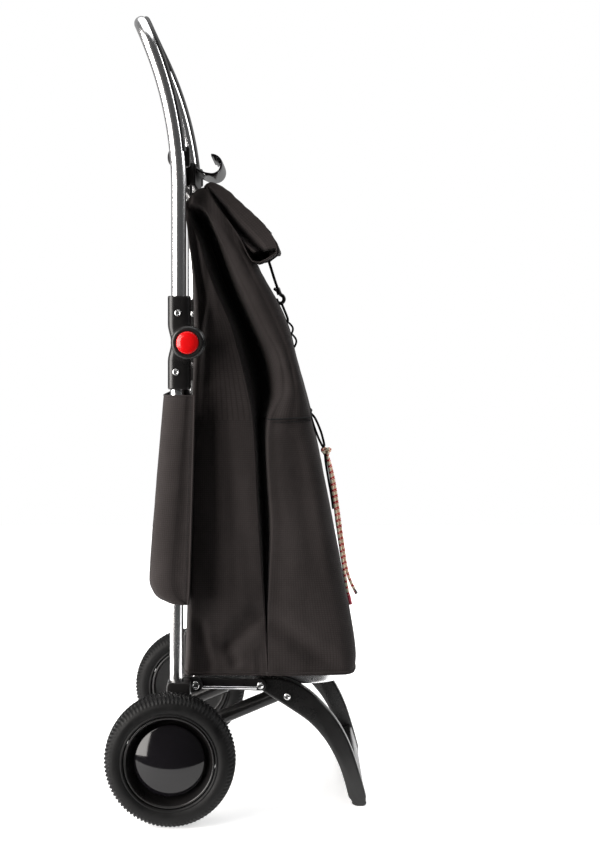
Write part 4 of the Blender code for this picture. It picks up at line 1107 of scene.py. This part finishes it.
def bag_ring(level):
    """Plan outline at one level: rear middle, right side with its fold, front, left side."""
    def height(share):
        return row_height(level, share)
    rear, front = curve_at(BAG_REAR, height(0)), curve_at(BAG_FRONT, height(1))

    def found(line, share):
        """Where a line of the side view crosses this slanted level."""
        for _ in range(4):
            x = curve_at(line, height(share))
            share = min(1.0, max(0.0, (x - rear) / (front - rear)))
        return x, height(share)
    ridge = max(rear + 0.0008, found(REAR_RIDGE, 0.1)[0])
    lip, z_side = found(FOLD_LIP, 0.3)
    lip = max(ridge + 0.0008, lip)
    shoulder = max(lip + 0.001, found(FOLD_SHOULDER, 0.4)[0])
    depth = curve_at(FOLD_DEPTH, z_side)
    corner = min(0.026, 0.45 * (front - shoulder))
    deep = lip + 0.40 * (shoulder - lip) - 0.05 * depth
    pocket = 0.0010 if height(0.8) < POCKET_TOP else 0.0

    def deepness(x):
        return curve_at(FOLD_DEPTH, height((x - rear) / (front - rear)))

    def half_ring(side):
        half, wide, curl, squarish = BAG_HALF, 0.030, min(0.0030, 0.4 * depth), 0.9
        bulge = 0.0040 * math.sin(math.pi * min(1.0, max(0.0, (z_side - 0.17) / 0.6)))
        lip_y = half + bulge * math.sin(math.pi * 0.85)
        points = []
        # half the rear panel, its corner, the side panel up to the lip and the lip's curl
        for t in shares(14, 0)[:-1]:
            y = (half - wide) * t
            sag = 0.0030 * math.cos(math.pi * y / half / 2) * step(level, 0.0, 0.1)
            points.append((rear + sag, y))
        for t in shares(10, 0):
            a = math.pi / 2 * t
            points.append((ridge - (ridge - rear) * math.cos(a) ** squarish,
                           half - wide + wide * math.sin(a) ** squarish))
        for t in shares(26):
            points.append((mix(ridge, lip, t), half + bulge * math.sin(math.pi * t * 0.85)))
        for t in shares(6):
            a = math.pi / 2 * t
            points.append((lip + curl * math.sin(a) * 0.8, lip_y - curl * (1 - math.cos(a))))
        # into the fold and out of it again to the shoulder
        for t in shares(12):
            x = mix(lip + curl * 0.8, deep, t ** 0.7)
            points.append((x, mix(lip_y - curl, half - deepness(x), t)))
        for t in shares(16):
            x = mix(deep, shoulder, t ** 0.85)
            points.append((x, half - deepness(x) * (1 - step(t)) ** 1.4))
        # the front part of the side panel, the front corner and half the front panel
        for t in shares(18):
            points.append((mix(shoulder, front - corner, t),
                           half + 0.0022 * math.sin(math.pi * t) - pocket * step(t, 0, 0.2)))
        for t in shares(11):
            a = math.pi / 2 * t
            points.append((front - corner + (corner - pocket) * math.sin(a) ** squarish,
                           half - pocket - corner + corner * math.cos(a) ** squarish))
        for t in shares(14):
            y = (half - pocket - corner) * (1 - t)
            points.append((front - pocket + 0.0012 * math.cos(math.pi * y / half / 2), y))
        # height, slack and creases
        made = []
        for x, y in points:
            share = (x - rear) / (front - rear)
            z = height(share)
            off = crumple(x, side * y, z)
            if y > half * 0.6:
                y += off - crease(x, z) * step(y, half * 0.7, half)
            elif share > 0.5:
                x += off * 0.8 - 0.0008
            else:
                x -= off * 0.6
            made.append(Vector((x, side * y, z)))
        return made
    right, left = half_ring(-1), half_ring(1)
    return right + list(reversed(left[1:-1]))


def bag():
    """Sewn shell in two pieces that meet at the pocket's seam."""
    split = (POCKET_TOP - BAG_BOTTOM) / (BAG_TOP - BAG_BOTTOM)
    above = split + 1e-6
    centre = Vector((0.036, 0, BAG_BOTTOM))
    floor_ring = bag_ring(0.0)
    base = [[centre.lerp(Vector((p.x, p.y, BAG_BOTTOM)), f) for p in floor_ring]
            for f in (0.02, 0.2, 0.45, 0.7, 0.9, 0.965, 0.988)]
    low = grid("bag_lower", base + [bag_ring(split * t) for t in shares(96, 0)], mat=CLOTH)
    high = grid("bag_upper", [bag_ring(above)] + [bag_ring(mix(split, 1.0, t)) for t in shares(100)],
                mat=CLOTH)
    for obj in (low, high):
        smooth(thicken(obj), 70)

    ring = bag_ring(above)
    past_fold = 70
    first = next(i for i, p in enumerate(ring) if i >= past_fold and p.x > 0.022)
    seam = ring[first:len(ring) - first + 1]
    ridge = tube("seam_ridge", [p + outward(p) * 0.0008 for p in seam], 0.0010, 8, WEBBING)
    stitched = [p + Vector((0, 0, -0.0042)) for p in seam]
    thread = stitches("seam_stitches", stitched, WEBBING, 0.0007)
    seam_piece = join("pocket_seam", [ridge, thread])
    place(smooth(seam_piece, 60), "chassis", "bag_fabric")

    rim = bag_ring(0.004)
    hem = tube("bag_hem", [p + Vector((0, 0, 0.0012)) for p in (*rim[:len(rim) // 2 * 2], rim[0])],
               0.0013, 8, CLOTH, cap=False, up=Vector((0, 0, 1)))
    place(low, "chassis", "bag_fabric", "bag_body", "front_pocket")
    place(hem, "chassis", "bag_fabric")
    for obj in (low, hem):
        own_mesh(obj)
    place(high, None, "bag_fabric", "bag_body")
    follow_handle(high)


def outward(p):
    """Rough outward direction on the bag's plan."""
    return Vector((p.x - 0.02, p.y * 0.35, 0)).normalized()


def follow_handle(obj):
    """Bake the object's placement into its mesh."""
    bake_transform(obj)


def stitches(name, path, mat, radius, length=0.0030, gap=0.0016, grain=0.0008):
    """A row of sewn stitches, each a short tube, along points on a surface."""
    count = max(2, int(route_length(path) / grain))
    fine = through(path, count)
    pitch, sewn = round((length + gap) / grain), round(length / grain)
    parts = []
    for start in range(0, count - sewn - 1, pitch):
        run = fine[start:start + sewn + 1]
        away = outward(run[0]) * 0.0003
        parts.append(tube("stitch", [p + away for p in run], radius, 6, mat))
    return join(name, parts)


def rear_pocket():
    """Sleeve behind the tubes: closed below, open above, hemmed at its edges."""
    def ring(z, rear, front):
        half, corner = 0.1590, min(0.030, 0.85 * (front - rear))
        points = [(mix(front, rear + corner, t), -half + 0.0012 * math.sin(math.pi * t))
                  for t in shares(12, 0)[:-1]]
        for t in shares(12, 0):
            a = math.pi / 2 * t
            points.append((rear + corner - corner * math.sin(a) ** 0.9,
                           -half + corner * (1 - math.cos(a) ** 0.9)))
        flat = half - corner
        points += [(rear + 0.0025 * math.cos(math.pi * y / flat / 2), y)
                   for y in [mix(-flat, flat, t) for t in shares(28)[:-1]]]
        points += [(x, -y) for x, y in reversed(points[:25])]
        made = []
        for x, y in points:
            away = Vector((x + 0.06, y * 0.5, 0)).normalized()
            off = crumple(x + 0.5, y, z) * 0.8
            made.append(Vector((x, y, z)) + away * off)
        return made
    foot, full, mouth = 0.2712, 0.2980, 0.5360
    rear_line = [(foot, -0.0935), (0.2755, -0.1060), (0.2850, -0.1140), (full, -0.1176),
                 (0.400, -0.1100), (mouth, -0.0990)]
    front_line = [(foot, -0.0655), (full, -0.0640), (0.400, -0.0610), (mouth, -0.0575)]
    rows = [[Vector((mix(-0.0700, p.x, f), p.y, foot - 0.0003)) for p in ring(foot, -0.0935, -0.0655)]
            for f in (0.0, 0.4, 0.8)]
    heights = [foot, 0.2722, 0.2737, 0.2755, 0.2785, 0.2815, 0.2850, 0.2890, 0.2930, full]
    heights += [mix(full, mouth, t) for t in shares(60)]
    rows += [ring(z, curve_at(rear_line, z), curve_at(front_line, z)) for z in heights]
    sleeve_cloth = grid("rear_sleeve", rows, closed=False, mat=CLOTH, turn=True)
    thicken(sleeve_cloth, offset=0).data.shade_smooth()
    edges = [rows[-1]] + [[row[k] for row in rows[3:]] for k in (0, -1)]
    piping = [tube("edge", edge, 0.0013, 10, CLOTH, up=up)
              for edge, up in zip(edges, (Vector((0, 0, 1)), Vector((0, 1, 0)), Vector((0, 1, 0))))]
    for edge, away in zip(edges, ((0, 0, -0.0100), (-0.0045, -0.0009, 0), (-0.0045, 0.0009, 0))):
        piping.append(stitches("sewing", [p + Vector(away) for p in edge], WEBBING, 0.00035))
    cloth_piece = join("rear_pocket_cloth", [sleeve_cloth, *piping])
    place(smooth(cloth_piece, 60), "chassis", "bag_fabric", "rear_pocket")


# --------------------------------------------------------------------------- roll top
PEAK = Vector((-0.0441, 0, 0.8085))
# Lines of the gathered end, each from the peak to the lower lip, with its depth behind the edge.
PLEATS = [([(-0.0441, 0.8090), (-0.0345, 0.8092), (-0.0147, 0.7984), (0.0077, 0.7780),
            (0.0289, 0.7580), (0.0465, 0.7345), (0.0490, 0.7280)], 0.0),
          ([(-0.0441, 0.8088), (-0.0370, 0.8045), (-0.0180, 0.7860), (0.0020, 0.7640),
            (0.0250, 0.7400), (0.0360, 0.7260)], 0.0010),
          ([(-0.0441, 0.8085), (-0.0385, 0.8010), (-0.0232, 0.7784), (-0.0085, 0.7560),
            (0.0150, 0.7330), (0.0270, 0.7230)], 0.0200),
          ([(-0.0441, 0.8080), (-0.0405, 0.7960), (-0.0280, 0.7720), (-0.0160, 0.7540),
            (0.0080, 0.7310), (0.0190, 0.7225)], 0.0020),
          ([(-0.0441, 0.8078), (-0.0418, 0.7930), (-0.0330, 0.7700), (-0.0235, 0.7520),
            (-0.0020, 0.7270), (0.0090, 0.7180)], 0.0220),
          ([(-0.0441, 0.8075), (-0.0445, 0.7900), (-0.0375, 0.7670), (-0.0280, 0.7490),
            (-0.0070, 0.7240), (0.0040, 0.7155)], 0.0050)]


def droop(y, z):
    """The lower wrap hangs lower at its right end than at its left."""
    return 0.0075 * y / BAG_HALF * (1 - step(z, 0.7200, 0.7420))


def roll_rows():
    """Rows of the roll's outline from its right end to its left, with slack and ripples."""
    top = upright([(-0.0470, 0.8050), (-0.0425, 0.8095), (-0.0345, 0.8098), (-0.0147, 0.7990),
                   (0.0077, 0.7785), (0.0289, 0.7585), (0.0470, 0.7345), (0.0502, 0.7285),
                   (0.0502, 0.7250), (0.0450, 0.7218), (0.0358, 0.7172), (0.0285, 0.7146),
                   (0.0235, 0.7140), (0.0150, 0.7164)], 70)
    under = upright([(0.0140, 0.7175), (0.0050, 0.7300), (-0.0150, 0.7590), (-0.0380, 0.7920),
                     (-0.0470, 0.8030)], 30)
    rows = []
    for share in shares(72, 0):
        y = mix(-BAG_HALF, BAG_HALF, share)
        near_end = step(abs(y), 0.095, BAG_HALF)
        row = []
        for k, p in enumerate(top + under):
            t = min(1.0, k / len(top))
            slack = 0.0016 * noise.noise(Vector((t * 4, y * 22, 2))) * math.sin(math.pi * t)
            ripple = 0.0009 * noise.noise(Vector((t * 16, y * 60, 5)))
            point = PEAK + (p - PEAK) * (1 - 0.05 * near_end * math.sin(math.pi * t))
            lift = slack + ripple
            row.append(Vector((point.x + lift, y, point.z + lift + droop(y, p.z))))
        rows.append(row)
    return rows


def gathered_end(side):
    """Fan of pleats that closes one end of the roll, turned in at the lower lip."""
    steps, near, turn_in = 8, 3, 0.16
    count = (len(PLEATS) - 1) * steps
    lines = [upright(line, 41) for line, _ in PLEATS]
    rim = upright([(0.0500, 0.7264), (0.0482, 0.7240), (0.0370, 0.7174), (0.0275, 0.7146),
                   (0.0190, 0.7152), (0.0145, 0.7172)], len(PLEATS) * steps)
    fan = []
    for i in range(count + 1):
        k = min(i // steps, len(PLEATS) - 2)
        t = i / steps - k
        low, high = PLEATS[k][1], PLEATS[k + 1][1]
        behind = mix(low, high, step(t) if high > low else 1 - step(1 - t))
        line = []
        for a, b in zip(lines[k], lines[k + 1]):
            p = a.lerp(b, t)
            reach = min(1.0, (p - PEAK).length / 0.040)
            line.append(Vector((p.x, side * (BAG_HALF - 0.0014 - reach * behind), p.z)))
        sink = 0.024 * min(1.0, i / near, (count - i) / near)
        last, ending = line[-1], rim[min(len(rim) - 1, round(i * len(rim) / (count + 1)))]
        ending_z = ending.z + droop(side * BAG_HALF, ending.z)
        for f in (0.06, turn_in, 0.5, 1.0):
            line.append(Vector((mix(last.x, ending.x, f), last.y - side * sink * step(f, 0, turn_in),
                                mix(last.z, ending_z, f))))
        fan.append(line)
    pleats = thicken(grid("pleats", fan, closed=False, mat=CLOTH, turn=side > 0))
    pleats.data.shade_smooth()
    return pleats


def roll_top():
    """Folded mouth: a flattened roll of cloth, its ends gathered in pleats under the peak."""
    rows = roll_rows()
    shell = thicken(grid("roll_shell", rows, mat=CLOTH))
    shell.data.shade_smooth()
    parts = [shell, gathered_end(-1), gathered_end(1)]
    for side, row in ((-1, rows[0]), (1, rows[-1])):
        edge = [Vector((p.x, side * (BAG_HALF - 0.0005), p.z)) for p in row[:66]]
        parts.append(tube("edge", edge, 0.0010, 8, CLOTH))
    sewn = [row[44] + Vector((0.0004, 0, 0.0006)) for row in rows]
    parts.append(stitches("roll_sewing", sewn, WEBBING, 0.00035))
    piece = join("roll_top_cloth", parts)
    place(smooth(piece, 60), "roll_top", "bag_fabric", "roll_top")


def elastic():
    """Elastic cord under the roll, with its plastic hook."""
    route = upright([(0.0343, 0.7155), (0.0385, 0.7020), (0.0432, 0.6870), (0.0476, 0.6745)], 120)
    stretch = tube("elastic_stretch", route, 0.0019, 16, WEBBING,
                   shape=lambda u, a: 0.00012 * math.sin(u * 2600 + 3 * a))
    place(stretch, "roll_top", "webbing", "elastic_cord")
    centre = Vector((0.0505, 0, 0.6618))
    bend = [centre + Vector((0.0052 * x, 0, 0.0058 * z)) for x, z in arc((0, 0), 1, 80, -190, 27)]
    claw = tube("claw", [Vector((0.0484, 0, 0.6735)), *bend], 0.0026, 14, BLACK)
    knot = bar("ferrule", (0.0466, 0, 0.6772), (0.0496, 0, 0.6680), 0.0034, 0.0007, 24, BLACK)
    cross = bar("cross", (0.0424, -0.0030, 0.6762), (0.0490, 0.0030, 0.6716), 0.0022, 0.0003, 16, BLACK)
    piece = join("hook_claw", [claw, knot, cross])
    place(smooth(piece, 50), "roll_top", "black_plastic", "cord_hook")


def ladder():
    """Webbing sewn on the bag's front in raised loops for the hook."""
    def before_front(z, away):
        return Vector((curve_at(BAG_FRONT, z) + away, 0, z))
    lead = through([(0.0512, 0, 0.6585), (0.0556, 0, 0.6480), (0.0606, 0, 0.6350),
                    before_front(0.629, 0.0012)], 20)
    loops = [tube("loop", lead, 0, 20, WEBBING, flat=(0.0050, 0.0017))]
    levels = [0.631, 0.614, 0.596]
    for z_high, z_low in zip(levels, levels[1:]):
        path = [before_front(mix(z_high, z_low, t), 0.0014 + 0.0044 * math.sin(math.pi * t))
                for t in shares(14, 0)]
        loops.append(tube("loop", path, 0, 20, WEBBING, flat=(0.0050, 0.0014)))
        tack, half_tack = before_front(z_low, 0.0018), Vector((0, 0.0058, 0))
        loops.append(bar("tack", tack - half_tack, tack + half_tack, 0.0012, 0.0003, 12, WEBBING))
    back = [before_front(mix(0.660, 0.592, t), 0.0006) for t in shares(20, 0)]
    loops.append(tube("back", back, 0, 20, WEBBING, flat=(0.0085, 0.0007)))
    piece = smooth(join("ladder_webbing", loops), 50)
    place(piece, None, "webbing", "webbing_ladder")
    follow_handle(piece)


def zip_pull():
    """Folded strap of the zip's tab, its tail behind the cord, and a bead."""
    tab_parts = []
    for route in ([(0.0925, 0, 0.5045), (0.0990, 0, 0.4965), (0.1062, 0, 0.4800), (0.1102, 0, 0.4660),
                   (0.1116, 0, 0.4590)],
                  [(0.0925, 0, 0.5015), (0.0972, 0, 0.4860), (0.1032, 0, 0.4700), (0.1085, 0, 0.4590)],
                  [(0.1120, -0.001, 0.4500), (0.1136, -0.001, 0.4340), (0.1162, -0.001, 0.4180),
                   (0.1190, -0.001, 0.4020), (0.1214, -0.001, 0.3880), (0.1236, -0.001, 0.3720)]):
        tab_parts.append(tube("strap", through(route, 30), 0, 16, WEBBING, flat=(0.0030, 0.0016)))
    tab_parts.append(bar("bead", (0.1100, -0.0034, 0.4585), (0.1100, 0.0034, 0.4585), 0.0024, 0.0006,
                         20, BLACK))
    tab = smooth(join("zip_pull_strap", tab_parts), 50)
    place(tab, "chassis", "webbing", "zip_tab")


bag()
rear_pocket()
roll_top()
elastic()
ladder()
zip_pull()


# ------------------------------------------------------------------- camera, floor, light
def softbox(name, place_at, aim, size, power, colour=(1, 1, 1)):
    """Rectangular area light aimed at a point."""
    light = bpy.data.lights.new(name, "AREA")
    light.shape = "RECTANGLE"
    light.size, light.size_y = size
    light.energy, light.color = power, colour
    obj = bpy.data.objects.new(name, light)
    bpy.context.collection.objects.link(obj)
    obj.location = place_at
    obj.rotation_euler = (Vector(aim) - Vector(place_at)).to_track_quat("-Z", "Y").to_euler()


def floor_and_surround():
    """Pale glowing floor, dimmest near the middle, that fades into a plain white surround; the surround
    lights the part more from behind.
    """
    mat = new_material("floor", (0.90, 0.90, 0.90), 0.55, Specular_IOR_Level=0.2,
                       Emission_Color=(1, 1, 1, 1))
    where = add(mat, "TexCoord").outputs["Object"]
    into(mat, "Base Color", blend_colours(mat, speckle(mat, where, 3.0), (0.90, 0.90, 0.90),
                                          (0.92, 0.92, 0.92)))
    away = add(mat, "VectorMath", {0: where}, operation="LENGTH").outputs["Value"]
    # painted glow: the floor emits light, 0.6 within 0.4 m of the middle rising to 1.0 at 1.3 m, so it also
    # lights the part from below
    into(mat, "Emission Strength", spread(mat, away, 0.4, 1.3, 0.60, 1.0))
    near, far, half = -0.36, 2.4, 2.0
    mesh = bpy.data.meshes.new("floor")
    mesh.from_pydata([(-half, near, 0), (half, near, 0), (half, far, 0), (-half, far, 0)], [],
                     [(0, 1, 2, 3)])
    link("floor", mesh, mat)

    world = bpy.data.worlds.new("studio")
    bpy.context.scene.world = world
    world.use_nodes = True
    world.node_tree.nodes.clear()
    way = add(world, "SeparateXYZ", {0: add(world, "TexCoord").outputs["Generated"]})
    strength = add(world, "MapRange", {"Value": way.outputs["Y"], "From Min": -0.1, "From Max": 0.9,
                                       "To Min": 0.08, "To Max": 0.40}, interpolation_type="SMOOTHSTEP")
    lit = add(world, "Background", {1: strength.outputs[0]})
    seen = add(world, "Background", {0: (1, 1, 1, 1), 1: 1.0})
    camera_ray = add(world, "LightPath").outputs["Is Camera Ray"]
    blend = add(world, "MixShader", {0: camera_ray, 1: lit.outputs[0], 2: seen.outputs[0]})
    add(world, "OutputWorld", {0: blend.outputs[0]})


def lights_and_camera():
    """A tall warm softbox on the left, a small high one on the right and a wide top light."""
    middle = (0.02, 0, 0.5)
    softbox("left_box", (-1.62, -0.95, 0.85), middle, (1.6, 2.1), 104, (1.0, 0.965, 0.93))
    softbox("high_box", (1.60, 0.35, 1.62), (-0.1, 0, 0.95), (1.2, 0.9), 22)
    softbox("top_box", (0.0, 0.2, 2.6), (0, 0, 0), (2.4, 2.4), 40)

    camera = bpy.data.cameras.new("camera")
    camera.sensor_width, camera.lens = 36.0, 60.35
    camera.shift_x, camera.shift_y = 0.0117, -0.1249
    obj = bpy.data.objects.new("camera", camera)
    bpy.context.collection.objects.link(obj)
    obj.location = (0.064, -1.979, 0.633)
    obj.rotation_euler = (math.radians(90), 0, 0)
    bpy.context.scene.camera = obj
    bpy.context.scene.view_settings.view_transform = "Standard"


floor_and_surround()
lights_and_camera()
